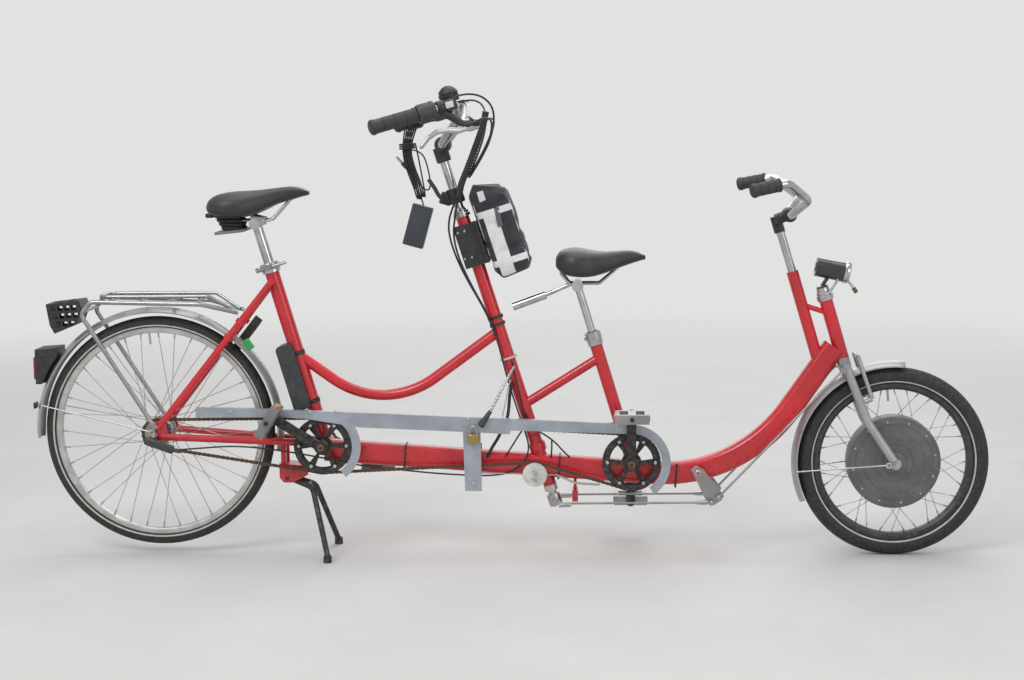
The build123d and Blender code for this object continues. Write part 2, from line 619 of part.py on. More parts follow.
# Front seat post, the child's saddle, and the telescopic arm behind it
FRONT_SADDLE = [
    (1058, 48, 792, 756),
    (1078, 74, 808, 746),
    (1112, 84, 814, 740),
    (1160, 70, 805, 740),
    (1205, 42, 806, 752),
    (1250, 25, 806, 768),
    (1288, 15, 796, 774),
]
front_post = bar(pt(front_post_foot), pt(FRONT_POST_TOP), FRONT_POST_R)
front_collar = bar(pt(beyond(FRONT_POST_TOP, FRONT_SEAT_TOP, 18)), pt(FRONT_SEAT_TOP), FRONT_SEAT_TUBE_R + 4)
front_collar += bar(pt(FRONT_SEAT_TOP), pt(beyond(FRONT_BB, FRONT_SEAT_TOP, 4)), FRONT_SEAT_TUBE_R + 4)
front_collar -= front_seat_env
front_rails = saddle_rails(FRONT_POST_TOP, [(1068, 752), (1092, 722), (1170, 722), (1236, 778)])
ARM_ROD_R = 6.0
ARM_SLEEVE_R = 11.0
arm = bar(pt((1100.0, 722.0)), pt((1026.0, 690.0)), ARM_ROD_R)
arm += bar(pt((1030.0, 691.5)), pt((943.0, 660.0)), ARM_SLEEVE_R)
save("front_seat_post", front_post + front_collar + front_rails + arm)
save("front_saddle", largest(saddle(FRONT_SADDLE) - front_rails))

# Controller box strapped behind the rear seat tube
BOX_W = 70.0
BOX_D = 46.0
BOX_L = 178.0
tube_tilt = degrees(atan2(REAR_BB[0] - SEAT_TUBE_TOP[0], SEAT_TUBE_TOP[1] - REAR_BB[1]))
box_centre = pt((line_at(SEAT_TUBE_TOP, REAR_BB, 478.0) - 26, 478.0))
controller = Pos(*box_centre) * Rot(0, -tube_tilt, 0) * Box(BOX_D, BOX_W, BOX_L)
controller = fillet(controller.edges().filter_by(Axis.Y), 12)
controller -= bar(pt(SEAT_TUBE_TOP), pt(REAR_BB), SEAT_TUBE_R + SEAT_GAP)
controller -= along_y(REAR_HUB, REAR_GUARD_R + 8, -90, 90)
save("controller_box", largest(controller))

# Chain: one loop over the hub sprocket, both rings and the idler
# pulley: centre, pitch radius, side of the travel it lies on (-1 right, 1 left)
IDLER_ROLLER_R = IDLER_R - 4.5
PULLEYS = [
    (REAR_HUB, pitch_radius(SPROCKET_TEETH), -1),
    (REAR_BB, pitch_radius(RING_TEETH), -1),
    (FRONT_BB, pitch_radius(RING_TEETH), -1),
    (IDLER, IDLER_ROLLER_R + CHAIN_H / 2 + SEAT_GAP, 1),
    (REAR_BB, pitch_radius(RING_TEETH), -1),
]


def chain_runs(offset):
    # the straight tangents between the pulleys, moved outwards by the offset
    runs = []
    for i, (c1, r1, s1) in enumerate(PULLEYS):
        c2, r2, s2 = PULLEYS[(i + 1) % len(PULLEYS)]
        q1 = s1 * r1 - offset
        q2 = s2 * r2 - offset
        dx, dz = c2[0] - c1[0], c2[1] - c1[1]
        theta = atan2(dz, dx) + asin((q1 - q2) / hypot(dx, dz))
        nx, nz = -sin(theta), cos(theta)
        runs.append(((c1[0] - q1 * nx, c1[1] - q1 * nz), (c2[0] - q2 * nx, c2[1] - q2 * nz)))
    return runs


def chain_loop(offset):
    runs = chain_runs(offset)
    edges = []
    for i, (a, b) in enumerate(runs):
        edges.append(Line(a, b))
        centre, r, s = PULLEYS[(i + 1) % len(PULLEYS)]
        after = runs[(i + 1) % len(runs)][0]
        q = r - s * offset
        start = atan2(b[1] - centre[1], b[0] - centre[0])
        turn = atan2(after[1] - centre[1], after[0] - centre[0]) - start
        turn = (turn % (2 * pi)) if s > 0 else -((-turn) % (2 * pi))
        mid = polar(centre, q, degrees(start + turn / 2))
        edges.append(ThreePointArc(b, mid, after))
    return make_face(edges)


chain_y0 = CHAIN_Y - CHAIN_INNER_W / 2 - CHAIN_PLATE_T
chain_y1 = CHAIN_Y + CHAIN_INNER_W / 2
band = chain_loop(CHAIN_H / 2) - chain_loop(-CHAIN_H / 2)
chain = Pos(0, chain_y0 + CHAIN_PLATE_T, 0) * extrude(Plane.XZ * band, CHAIN_PLATE_T)
chain += Pos(0, chain_y1 + CHAIN_PLATE_T, 0) * extrude(Plane.XZ * band, CHAIN_PLATE_T)
ROLLER_R = 3.0
for a, b in chain_runs(0):
    steps = int(hypot(b[0] - a[0], b[1] - a[1]) / (4 * CHAIN_PITCH))
    for k in range(1, steps):
        p = (a[0] + (b[0] - a[0]) * k / steps, a[1] + (b[1] - a[1]) * k / steps)
        chain += hex_bar(pt(p, chain_y0), pt(p, chain_y1 + CHAIN_PLATE_T), ROLLER_R)
save("chain", chain)

# Idler: a roller between two discs, on a boss of the main tube
FLANGE_T = 2.5
flange_gap = CHAIN_INNER_W / 2 + CHAIN_PLATE_T + RUN_GAP
idler = along_y(IDLER, IDLER_ROLLER_R, CHAIN_Y - flange_gap, CHAIN_Y + flange_gap)
for side in (-1, 1):
    y = CHAIN_Y + side * flange_gap
    idler += along_y(IDLER, IDLER_R, y, y + side * FLANGE_T)
idler += along_y(IDLER, 10, CHAIN_Y, 0) - main_block - column_env
for dz in (-9, 9):
    idler += hex_bar(pt((IDLER[0], IDLER[1] + dz), CHAIN_Y), pt((IDLER[0], IDLER[1] + dz), CHAIN_Y - 12), 5)
idler -= main_tube
idler -= column_tube
save("idler", largest(idler))

# Cranks with their axles; the arms carry the pedal pins
ARM_HUB_R = 17.0
ARM_EYE_R = 12.0
PEDAL_PIN_END = 10.0
crank_reach = ARM_Y + ARM_T / 2
ring_pitch_r = pitch_radius(RING_TEETH)


def crankset(centre, length, angle):
    axle = along_y(centre, CRANK_AXLE_R, -crank_reach, crank_reach)
    for side in (-1, 1):
        tip = polar(centre, length, angle if side < 0 else angle + 180)
        y0, y1 = side * (ARM_Y - ARM_T / 2), side * crank_reach
        axle += along_y(centre, ARM_HUB_R, y0, y1) + along_y(tip, ARM_EYE_R, y0, y1)
        mid = ((centre[0] + tip[0]) / 2, (centre[1] + tip[1]) / 2)
        turn = angle if side < 0 else angle + 180
        axle += Pos(mid[0], side * ARM_Y, mid[1]) * Rot(0, -turn, 0) * Box(length, ARM_T, ARM_W)
        axle += along_y(tip, PEDAL_PIN_R, y1, y1 + side * (PEDAL_L + PEDAL_PIN_END))
    return axle


SPIDER_ARMS = 6
WINDOW_IN = 26.0
WINDOW_OUT = 57.0
WINDOW_EDGE = 9.0
RING_BOSS_R = 18.0
GUARD_RING_Y0 = CHAIN_Y - 4.4
GUARD_RING_Y1 = CHAIN_Y - 7.0
GUARD_RING_IN = 60.0
BOLT_CIRCLE_R = 62.5
BOLT_R = 4.0
BOLT_END = 9.5


def chainring(centre):
    # toothed ring with six windows on a boss, and a guard ring on bolts outside it
    step = 360 / SPIDER_ARMS
    ring = toothed(RING_TEETH, centre, CHAIN_Y, CRANK_AXLE_R + BEARING_GAP)
    plate = along_y(centre, ring_pitch_r + TOOTH_H, GUARD_RING_Y1, GUARD_RING_Y0)
    plate -= along_y(centre, GUARD_RING_IN, GUARD_RING_Y1 - 1, GUARD_RING_Y0 + 1)
    for i in range(SPIDER_ARMS):
        window = sector(centre, WINDOW_IN, WINDOW_OUT, step * i + WINDOW_EDGE, step * (i + 1) - WINDOW_EDGE)
        ring -= slab(window, CHAIN_Y - RING_T, CHAIN_Y + RING_T)
    ring += plate + along_y(centre, RING_BOSS_R, CHAIN_Y, -ARM_Y + ARM_T / 2)
    for i in range(SPIDER_ARMS):
        ring += along_y(polar(centre, BOLT_CIRCLE_R, step * i), BOLT_R, CHAIN_Y - BOLT_END, CHAIN_Y)
    ring -= along_y(centre, CRANK_AXLE_R + BEARING_GAP, -ARM_Y, ARM_Y)
    return ring


def sector(centre, r0, r1, a0, a1):
    mid = (a0 + a1) / 2
    outer = ThreePointArc(polar(centre, r1, a0), polar(centre, r1, mid), polar(centre, r1, a1))
    inner = ThreePointArc(polar(centre, r0, a1), polar(centre, r0, mid), polar(centre, r0, a0))
    return [outer, Line(outer @ 1, inner @ 0), inner, Line(inner @ 1, outer @ 0)]


save("rear_crank", crankset(REAR_BB, REAR_CRANK_L, REAR_CRANK_ANGLE))
save("rear_ring", chainring(REAR_BB))
save("front_crank", crankset(FRONT_BB, FRONT_CRANK_L, FRONT_CRANK_ANGLE))
save("front_ring", chainring(FRONT_BB))

# Pedals turn on the pins: body with two windows, one each side of the pin
# name, crank centre, crank length, angle, side, tilt of the tread
PEDALS = [
    ("rear_right_pedal", REAR_BB, REAR_CRANK_L, REAR_CRANK_ANGLE, -1, -58.0),
    ("rear_left_pedal", REAR_BB, REAR_CRANK_L, REAR_CRANK_ANGLE + 180, 1, 0.0),
    ("front_right_pedal", FRONT_BB, FRONT_CRANK_L, FRONT_CRANK_ANGLE, -1, 0.0),
    ("front_left_pedal", FRONT_BB, FRONT_CRANK_L, FRONT_CRANK_ANGLE + 180, 1, 0.0),
]
PEDAL_BAR = 12.0
for name, centre, length, angle, side, tilt in PEDALS:
    tip = polar(centre, length, angle)
    y = side * (crank_reach + RUN_GAP + 5 + PEDAL_L / 2)
    body = Box(PEDAL_W, PEDAL_L, PEDAL_T)
    window_w = (PEDAL_W - 20) / 2 - PEDAL_BAR
    for end in (-1, 1):
        shift = end * (10 + window_w / 2)
        body -= Pos(shift, 0, 0) * Box(window_w, PEDAL_L - 2 * PEDAL_BAR, 2 * PEDAL_T)
    body = Pos(tip[0], y, tip[1]) * Rot(0, tilt, 0) * body
    pin_end = side * (crank_reach + PEDAL_L + PEDAL_PIN_END + RUN_GAP)
    body -= along_y(tip, PEDAL_PIN_R + BEARING_GAP, side * crank_reach, pin_end)
    save(name, body)

# Chain guard: a long plate with a flange over the chain and a crescent round each ring
GUARD_TOP = [(109, 404), (254, 401), (858, 376), (1256, 358)]
GUARD_LOW = [(1256, 332), (938, 342), (935, 332), (831, 338), (539, 351), (400, 374), (327, 378), (109, 378)]
CRESCENT_IN = 79.0
CRESCENT_OUT = 102.0
FLANGE_DEPTH = 16.0
guard_y0 = CHAIN_GUARD_Y - CHAIN_GUARD_T / 2
guard_y1 = CHAIN_GUARD_Y + CHAIN_GUARD_T / 2
chain_guard = slab(flat_poly(GUARD_TOP + GUARD_LOW), guard_y0, guard_y1)
chain_guard += slab(sector(REAR_BB, CRESCENT_IN, CRESCENT_OUT, -53, 70), guard_y0, guard_y1)
chain_guard += slab(sector(FRONT_BB, CRESCENT_IN, CRESCENT_OUT, -54, 90), guard_y0, guard_y1)
flange = [(x, z) for x, z in GUARD_TOP] + [(x, z - CHAIN_GUARD_T) for x, z in reversed(GUARD_TOP)]
chain_guard += slab(flat_poly(flange), guard_y0, guard_y1 + FLANGE_DEPTH)
HANGER_T = 3.0
hanger_y = guard_y1
hanger = slab(flat_poly([(812, 345), (858, 345), (860, 181), (816, 181)]), hanger_y, hanger_y + HANGER_T)
main_slope = (MAIN_KNEE[1] - MAIN_START[1]) / (MAIN_KNEE[0] - MAIN_START[0])
hanger_x = 838.0
tube_z = MAIN_START[1] + main_slope * (hanger_x - MAIN_START[0])
for dz in (-MAIN_H / 2 - 7, MAIN_H / 2 + 7):
    p = (hanger_x, tube_z + dz)
    hanger += along_y(p, 4, hanger_y, MAIN_W / 2 + 6)
BACK_PLATE = [(820, 42), (856, 42), (856, -42), (820, -42)]
back_y = MAIN_W / 2 + SEAT_GAP
hanger += slab(flat_poly([(x, tube_z + z) for x, z in BACK_PLATE]), back_y, back_y + HANGER_T)
tab_x = line_at(FRONT_SEAT_TOP, FRONT_BB, 372.0)
TAB_END = -6.0
FRONT_TAB = [(-12, 378), (10, 378), (10, 366), (-12, 366)]
REAR_TAB = [(396, 397), (424, 396), (424, 416), (396, 416)]
front_tab = slab(flat_poly([(tab_x + x, z) for x, z in FRONT_TAB]), guard_y1, TAB_END) - front_seat_env
rear_tab = slab(flat_poly(REAR_TAB), guard_y1, TAB_END) - seat_env
chain_guard += hanger + front_tab + rear_tab
save("chain_guard", largest(chain_guard))

# Battery bag in front of the column on a plate box round it
bag_tilt = degrees(atan2(COLUMN_FOOT[0] - COLUMN_TOP[0], COLUMN_TOP[1] - COLUMN_FOOT[1]))
BAG_W = 100.0
BAG_D = 104.0
BAG_L = 262.0
HOLDER_W = 56.0
HOLDER_D = 62.0
HOLDER_L = 112.0


def on_column(z, ahead, shape):
    # a shape turned with the column, ahead of its axis at a height
    a = radians(bag_tilt)
    x = line_at(COLUMN_TOP, COLUMN_FOOT, z) + ahead * cos(a)
    return Pos(x, 0, z + ahead * sin(a)) * Rot(0, -bag_tilt, 0) * shape


HOLDER_Z = 824.0
holder = Box(HOLDER_D, HOLDER_W, HOLDER_L) - Box(HOLDER_D - 5, HOLDER_W - 5, HOLDER_L + 2)
holder += Pos(HOLDER_D / 2, 0, 0) * Box(5, BAG_W - 10, HOLDER_L)
for dz in (-HOLDER_L / 2 + 5, HOLDER_L / 2 - 5):
    holder += Pos(0, 0, dz) * Box(HOLDER_D - 2, HOLDER_W - 2, 6)
holder = on_column(HOLDER_Z, 0, holder) - column_env
save("bag_holder", largest(holder))
bag = fillet(Box(BAG_D, BAG_W, BAG_L).edges(), 18)
bag_ahead = HOLDER_D / 2 + 2.5 + SEAT_GAP + BAG_D / 2
save("battery_bag", on_column(844.0, bag_ahead, bag))

# The child's fixed handlebar: quill, stem and bent bar, with its grips
FRONT_BAR_R = 11.0
FRONT_STEM = (1662.0, 897.0)
# x, side distance, height: grip's tip, end of the grip, top of the rise, at the stem
FRONT_BAR_PATH = [(1548, 228, 968), (1640, 196, 986), (1700, 118, 938), (1662, 40, 897)]
BAR_BEND_R = 30.0


def both_sides(path):
    # the path of one half followed by its mirror image
    left = [Vector(x, y, z) for x, y, z in path]
    return left + [Vector(x, -y, z) for x, y, z in reversed(path)]


front_quill = bar(pt(quill_foot), pt(FRONT_QUILL_TOP), BAR_POST_R)
front_stem = bar(pt(beyond(quill_foot, FRONT_QUILL_TOP, -14)), pt((1630.0, 892.0)), 13)
front_stem += bar(pt((1630.0, 888.0)), pt(FRONT_STEM), 12)
front_bar = front_quill + front_stem + bent(both_sides(FRONT_BAR_PATH), BAR_BEND_R, FRONT_BAR_R)
GRIP_R = 16.5
GRIP_L = 76.0
GRIP_CAP = 3.0


def grip(tip, inward, start, length, r, core):
    # a sleeve over the bar's last run, closed over the bar's end where it starts there
    a, b = Vector(tip), Vector(inward)
    along = (b - a).normalized()
    cap = GRIP_CAP if start == 0 else 0
    sleeve = bar(a + along * (start - cap), a + along * (start + length), r)
    return sleeve - bar(a + along * start, a + along * (start + length + OVERCUT), core + SEAT_GAP)


def on_side(point, side):
    return Vector(point[0], side * point[1], point[2])


front_grips = []
for side in (-1, 1):
    tip, inward = on_side(FRONT_BAR_PATH[0], side), on_side(FRONT_BAR_PATH[1], side)
    front_grips.append(grip(tip, inward, 0, GRIP_L, GRIP_R, FRONT_BAR_R))
save("front_bar", front_bar)
save("front_grips", Compound(children=front_grips))

# Fork: steerer, crown, blades, dropouts and the two steering arms
head_dir = Vector(HEAD_FOOT[0] - HEAD_TOP[0], 0, HEAD_FOOT[1] - HEAD_TOP[1]).normalized()
to_hub = pt(FRONT_HUB) - pt(HEAD_FOOT)
hub_along = to_hub.dot(head_dir)
rake = sqrt(to_hub.length ** 2 - hub_along ** 2)
CROWN_R = 13.0
CROWN_Y = 50.0
BLADE_Y = 43.5
BLADE_R = 11.5
BLADE_BEND_R = 70.0
FORK_DROP_Y = 51.0
FORK_DROP_T = 6.0
FORK_DROP_R = 15.0
AXLE_SPACER_R = 11.0
crown_far = FRONT_GUARD_R + SEAT_GAP + CROWN_R
crown_at = pt(HEAD_FOOT) + head_dir * (hub_along - sqrt(crown_far ** 2 - rake ** 2))
crown_xz = (crown_at.X, crown_at.Z)
fork = along_y(crown_xz, CROWN_R, -CROWN_Y, CROWN_Y)
race = pt(HEAD_FOOT) + head_dir * RUN_GAP
fork += bar(race, crown_at, HEAD_TUBE_R)
steerer_top = pt(beyond(HEAD_FOOT, HEAD_TOP, 34))
fork += bar(race + head_dir * 5, steerer_top, STEERER_R)
fork += bar(pt(beyond(HEAD_FOOT, HEAD_TOP, RUN_GAP)), pt(beyond(HEAD_FOOT, HEAD_TOP, 16)), 20)
FORK_KNEE = (1866.0, 358.0)
FORK_LOW = (FRONT_HUB[0] - 5.0, FRONT_HUB[1] + 8.0)
for side in (-1, 1):
    top = Vector(crown_at.X, side * BLADE_Y, crown_at.Z)
    knee = pt(FORK_KNEE, side * (BLADE_Y + 2))
    low = pt(FORK_LOW, side * FORK_DROP_Y)
    fork += bent([top, knee, low], BLADE_BEND_R, BLADE_R)
    drop_y0 = side * (FORK_DROP_Y - FORK_DROP_T / 2)
    drop_y1 = side * (FORK_DROP_Y + FORK_DROP_T / 2)
    fork += along_y(FRONT_HUB, FORK_DROP_R, drop_y0, drop_y1)
    arm_end = side * (LEVER_Y - LINK_EYE_W / 2 - FORK_EYE_GAP)
    fork += bar(pt(FORK_JOINT, 0), pt(FORK_JOINT, arm_end), FORK_PIN_R)
motor_room = motor_boss_half + 3
guard_room = FRONT_GUARD_W / 2 + 2
spacer_end = FORK_DROP_Y - FORK_DROP_T / 2
fork -= along_y(FRONT_HUB, FRONT_AXLE_R + SEAT_GAP, -FRONT_AXLE_HALF, FRONT_AXLE_HALF)
fork -= along_y(FRONT_HUB, AXLE_SPACER_R + SEAT_GAP, -spacer_end, spacer_end)
fork -= along_y(FRONT_HUB, MOTOR_R + 5, -motor_room, motor_room)
fork -= along_y(FRONT_HUB, FRONT_GUARD_R + SEAT_GAP, -guard_room, guard_room)
fork = largest(fork)
save("fork", fork)

front_axle = along_y(FRONT_HUB, FRONT_AXLE_R, -FRONT_AXLE_HALF, FRONT_AXLE_HALF)
for side in (-1, 1):
    face_y = side * (FORK_DROP_Y + FORK_DROP_T / 2 + SEAT_GAP)
    front_axle += hex_bar(pt(FRONT_HUB, face_y), pt(FRONT_HUB, face_y + side * NUT_H), NUT_R + 1)
    spacer_y = side * (motor_boss_half + RUN_GAP)
    front_axle += along_y(FRONT_HUB, AXLE_SPACER_R, spacer_y, side * (spacer_end - SEAT_GAP))
save("front_axle", front_axle)

FRONT_STAY_AT = 185.5
front_guard = mudguard(FRONT_GUARD_R, FRONT_GUARD_W, FRONT_HUB, FRONT_GUARD_TAIL, FRONT_GUARD_FRONT)
stay_end = polar(FRONT_HUB, FRONT_GUARD_R - GUARD_SAG + STAY_RISE, FRONT_STAY_AT)
for side in (-1, 1):
    low = pt((FRONT_HUB[0] - 20, FRONT_HUB[1]), side * (FORK_DROP_Y + FORK_DROP_T / 2 + NUT_H))
    front_guard += bar(low, pt(stay_end, side * (FRONT_GUARD_W / 2 - STAY_INSIDE)), STAY_WIRE_R)
front_guard -= fork
save("front_mudguard", largest(front_guard))

# Headlamp on a bracket from the steerer
HEADLAMP_R = 25.0
lamp_rear = (1732.0, 762.0)
lamp_front = (1818.0, 744.0)
headlamp = bar(pt(lamp_rear), pt(lamp_front), HEADLAMP_R)
headlamp += bar(pt((1776.0, 752.0)), steerer_top - head_dir * 4, 5)
headlamp += bar(steerer_top - head_dir * 0.3, steerer_top - head_dir * 5, STEERER_R + 4)
save("headlamp", headlamp)

# Rim brake arms on the fork with their pads
brake_parts = []
RIM_PAD_R = 198.0
for side in (-1, 1):
    pivot = pt((1876.0, 420.0), side * BLADE_Y)
    top = pt((1838.0, 532.0), side * 40)
    brake_parts.append(bar(pivot, top, 6))
    brake_parts.append(bar(pivot, pt((1858.0, 412.0), side * BLADE_Y), 6))
    pad_at = polar(FRONT_HUB, RIM_PAD_R, 110)
    pad = bar(pt(pad_at, side * (FRONT_RIM_W / 2 + 2)), pt(pad_at, side * BLADE_Y), 5)
    brake_parts.append(pad)
    brake_parts.append(bar(pt(pad_at, side * BLADE_Y), pivot, 5))
brake_parts.append(along_y((1838.0, 532.0), 4, -40, 40))
front_brake = fuse(*brake_parts) - fork - front_guard
save("front_brake", largest(front_brake))

# Centre stand: barrel, two splayed legs, feet on the floor
STAND_KNEE = (408.0, 183.0)
STAND_KNEE_Y = 26.0
STAND_BAR = (396.0, 187.0)
STAND_BAR_R = 6.0
FOOT_H = 18.0
STAND_FOOT = (456.0, 15.0)
FOOT_R = 11.0
stand = along_y(STAND_PIVOT, 9, -BOX_Y + BOX_PLATE + 1, BOX_Y - BOX_PLATE - 1)
stand += along_y(STAND_PIVOT, STAND_PIN_R, -BOX_Y - 4, BOX_Y + 4)
for side in (-1, 1):
    knee = pt(STAND_KNEE, side * STAND_KNEE_Y)
    path = [pt(STAND_PIVOT, side * 12), knee, pt(STAND_FOOT, side * (STAND_FOOT_Y - 4))]
    stand += bent(path, STAND_KNEE_Y, STAND_LEG_R)
    foot_y = side * STAND_FOOT_Y
    stand += bar(pt((STAND_FOOT[0], 0), foot_y), pt((STAND_FOOT[0], FOOT_H), foot_y), FOOT_R)
stand += along_y(STAND_BAR, STAND_BAR_R, -STAND_KNEE_Y, STAND_KNEE_Y)
save("centre_stand", stand)

# Steering shaft: through the column, with the cross lever below it
column_dir = Vector(COLUMN_FOOT[0] - COLUMN_TOP[0], 0, COLUMN_FOOT[1] - COLUMN_TOP[1]).normalized()
shaft_top = pt(COLUMN_TOP) - column_dir * 26
lever_at = pt(COLUMN_FOOT) + column_dir * LEVER_DROP
shaft = bar(shaft_top, pt(COLUMN_FOOT) + column_dir * 52, SHAFT_R)
shaft += bar(pt(COLUMN_TOP) - column_dir * RUN_GAP, pt(COLUMN_TOP) - column_dir * 16, 20)
shaft += bar(pt(COLUMN_FOOT) + column_dir * RUN_GAP, pt(COLUMN_FOOT) + column_dir * 16, 18)
lever_half = LEVER_Y - LINK_EYE_W / 2 - LEVER_EYE_GAP
lever_xz = (lever_at.X, lever_at.Z)
shaft += along_y(lever_xz, LEVER_R, -lever_half, lever_half)
save("steering_shaft", shaft)

# The rider's handlebar: quill, stem and swept bar; grips with twist shifters
REAR_BAR_R = 11.0
REAR_QUILL_TOP = (760.0, 1070.0)
REAR_STEM = (757.0, 1083.0)
QUILL_R = 11.0
STEM_BLOCK_R = 17.0
CLAMP_R = 18.5
CLAMP_FROM = 38.0
CLAMP_TO = 78.0
REAR_GRIP_R = 18.0
REAR_GRIP_L = 122.0
SHIFTER_R = 23.0
SHIFTER_AT = 128.0
SHIFTER_L = 44.0
# x, side distance, height: grip's tip, end of the sweep, top of the rise, at the stem
REAR_BAR_PATH = [(612, 300, 1132), (812, 200, 1190), (812, 120, 1150), (765, 52, 1085)]
STEM_BLOCK = (REAR_BAR_PATH[3][0], REAR_BAR_PATH[3][2])
rear_bar = bent(both_sides(REAR_BAR_PATH), BAR_BEND_R, REAR_BAR_R)
rear_bar += bar(shaft_top, pt(REAR_QUILL_TOP), QUILL_R)
rear_bar += bar(pt(REAR_QUILL_TOP), pt(STEM_BLOCK), STEM_BLOCK_R)
rear_bar += bar(pt(COLUMN_TOP) - column_dir * CLAMP_FROM, pt(COLUMN_TOP) - column_dir * CLAMP_TO, CLAMP_R)
rear_bar -= shaft
save("rear_bar", rear_bar)
rear_grips = []
for side in (-1, 1):
    tip, inward = on_side(REAR_BAR_PATH[0], side), on_side(REAR_BAR_PATH[1], side)
    rear_grips.append(grip(tip, inward, 0, REAR_GRIP_L, REAR_GRIP_R, REAR_BAR_R))
    rear_grips.append(grip(tip, inward, SHIFTER_AT, SHIFTER_L, SHIFTER_R, REAR_BAR_R))
save("rear_grips", Compound(children=rear_grips))

# Brake levers and bell on the bar
LEVER_SEAT = 190.0
LEVER_CLAMP_R = 17.0
LEVER_CLAMP_L = 18.0
LEVER_ROOT = Vector(12, 0, -14)
LEVER_TIP = (724.0, 262.0, 1078.0)
BLADE_ROD_R = 6.0
BELL_SEAT = Vector(812, -160, 1170)
BELL_UP = Vector(-8, 0, 52)
BELL_R = 26.0
fittings = []
for side in (-1, 1):
    tip, inward = on_side(REAR_BAR_PATH[0], side), on_side(REAR_BAR_PATH[1], side)
    along = (inward - tip).normalized()
    seat = tip + along * LEVER_SEAT
    half = along * (LEVER_CLAMP_L / 2)
    lever = bar(seat - half, seat + half, LEVER_CLAMP_R) - rear_bar
    lever += bar(seat + LEVER_ROOT, on_side(LEVER_TIP, side), BLADE_ROD_R)
    fittings.append(largest(lever - rear_bar))
fittings.append(largest(bar(BELL_SEAT, BELL_SEAT + BELL_UP, BELL_R) - rear_bar))
save("bar_fittings", Compound(children=fittings))

# Charger on its folded cable, hung over the left grip
CHARGER_W = 58.0
CHARGER_L = 117.0
CHARGER_D = 34.0
CHARGER_AT = (671.0, 858.0)
CHARGER_TILT = 15.6
CHARGER_FILLET = 4.0
HANG_Y = 272.0
HANK_R = 16.0
HANK_BEND = 20.0
HANK_RING_R = 23.0
HANK_RING_L = 26.0
HANK_ON_GRIP = 62.0
HANK_L_ROOM = 40.0
# x, height of the hank's middle line, from the grip down to the charger
HANK_PATH = [(662, 1130), (645, 1092), (643, 1052), (656, 1006), (673, 968), (690, 908)]
charger = Pos(*pt(CHARGER_AT, HANG_Y)) * Rot(0, CHARGER_TILT, 0) * Box(CHARGER_W, CHARGER_D, CHARGER_L)
charger = fillet(charger.edges(), CHARGER_FILLET)
save("charger", charger)
grip_tip = on_side(REAR_BAR_PATH[0], 1)
grip_way = (on_side(REAR_BAR_PATH[1], 1) - grip_tip).normalized()
ring_from = grip_tip + grip_way * (HANK_ON_GRIP - HANK_RING_L / 2)
ring_to = grip_tip + grip_way * (HANK_ON_GRIP + HANK_RING_L / 2)
hank = bar(ring_from, ring_to, HANK_RING_R)
hank += bent([pt(point, HANG_Y) for point in HANK_PATH], HANK_BEND, HANK_R)
hank -= bar(ring_from - grip_way * HANK_L_ROOM, ring_to + grip_way * HANK_L_ROOM, REAR_GRIP_R + SEAT_GAP)
save("cable_hank", largest(hank - charger))

# Linkage: a swinging plate each side of the main tube, and its two rods
PLATE_Y0 = LEVER_Y - LINK_EYE_W / 2 - LINK_PLATE_T - RUN_GAP
PLATE_EDGE = [(1408, 236), (1420, 246), (1440, 236), (1494, 166), (1486, 154), (1466, 141), (1449, 148)]
for side, name in ((-1, "right"), (1, "left")):
    p0, p1 = side * PLATE_Y0, side * (PLATE_Y0 + LINK_PLATE_T)
    out = side * (LEVER_Y + LINK_EYE_W / 2 + 2)
    plate = slab(flat_poly(PLATE_EDGE), p0, p1)
    plate += along_y(CRANK_PIVOT, PIVOT_BOSS_R, side * (MAIN_W / 2 + PIVOT_BOSS + RUN_GAP), p1)
    plate -= along_y(CRANK_PIVOT, PIVOT_PIN_R + BEARING_GAP, -LEVER_Y, LEVER_Y)
    for joint in (TIE_JOINT, PUSH_JOINT):
        plate += along_y(joint, LINK_PIN_R, p1, out)
    save(name + "_bellcrank", plate)
    tie = bar(pt(TIE_JOINT, side * LEVER_Y), pt(lever_xz, side * LEVER_Y), ROD_R)
    push = bar(pt(PUSH_JOINT, side * LEVER_Y), pt(FORK_JOINT, side * LEVER_Y), ROD_R)
    e0, e1 = side * (LEVER_Y - LINK_EYE_W / 2), side * (LEVER_Y + LINK_EYE_W / 2)
    tie += along_y(TIE_JOINT, LINK_EYE_R, e0, e1) + along_y(lever_xz, LINK_EYE_R, e0, e1)
    push += along_y(PUSH_JOINT, LINK_EYE_R, e0, e1) + along_y(FORK_JOINT, LINK_EYE_R, e0, e1)
    save(name + "_tie_rod", tie - along_y(TIE_JOINT, LINK_PIN_R + BEARING_GAP, -90, 90))
    save(name + "_push_rod", push - along_y(PUSH_JOINT, LINK_PIN_R + BEARING_GAP, -90, 90))
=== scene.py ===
from math import asin, atan2, cos, degrees, hypot, pi, radians, sin

import bpy
from mathutils import Matrix, Vector


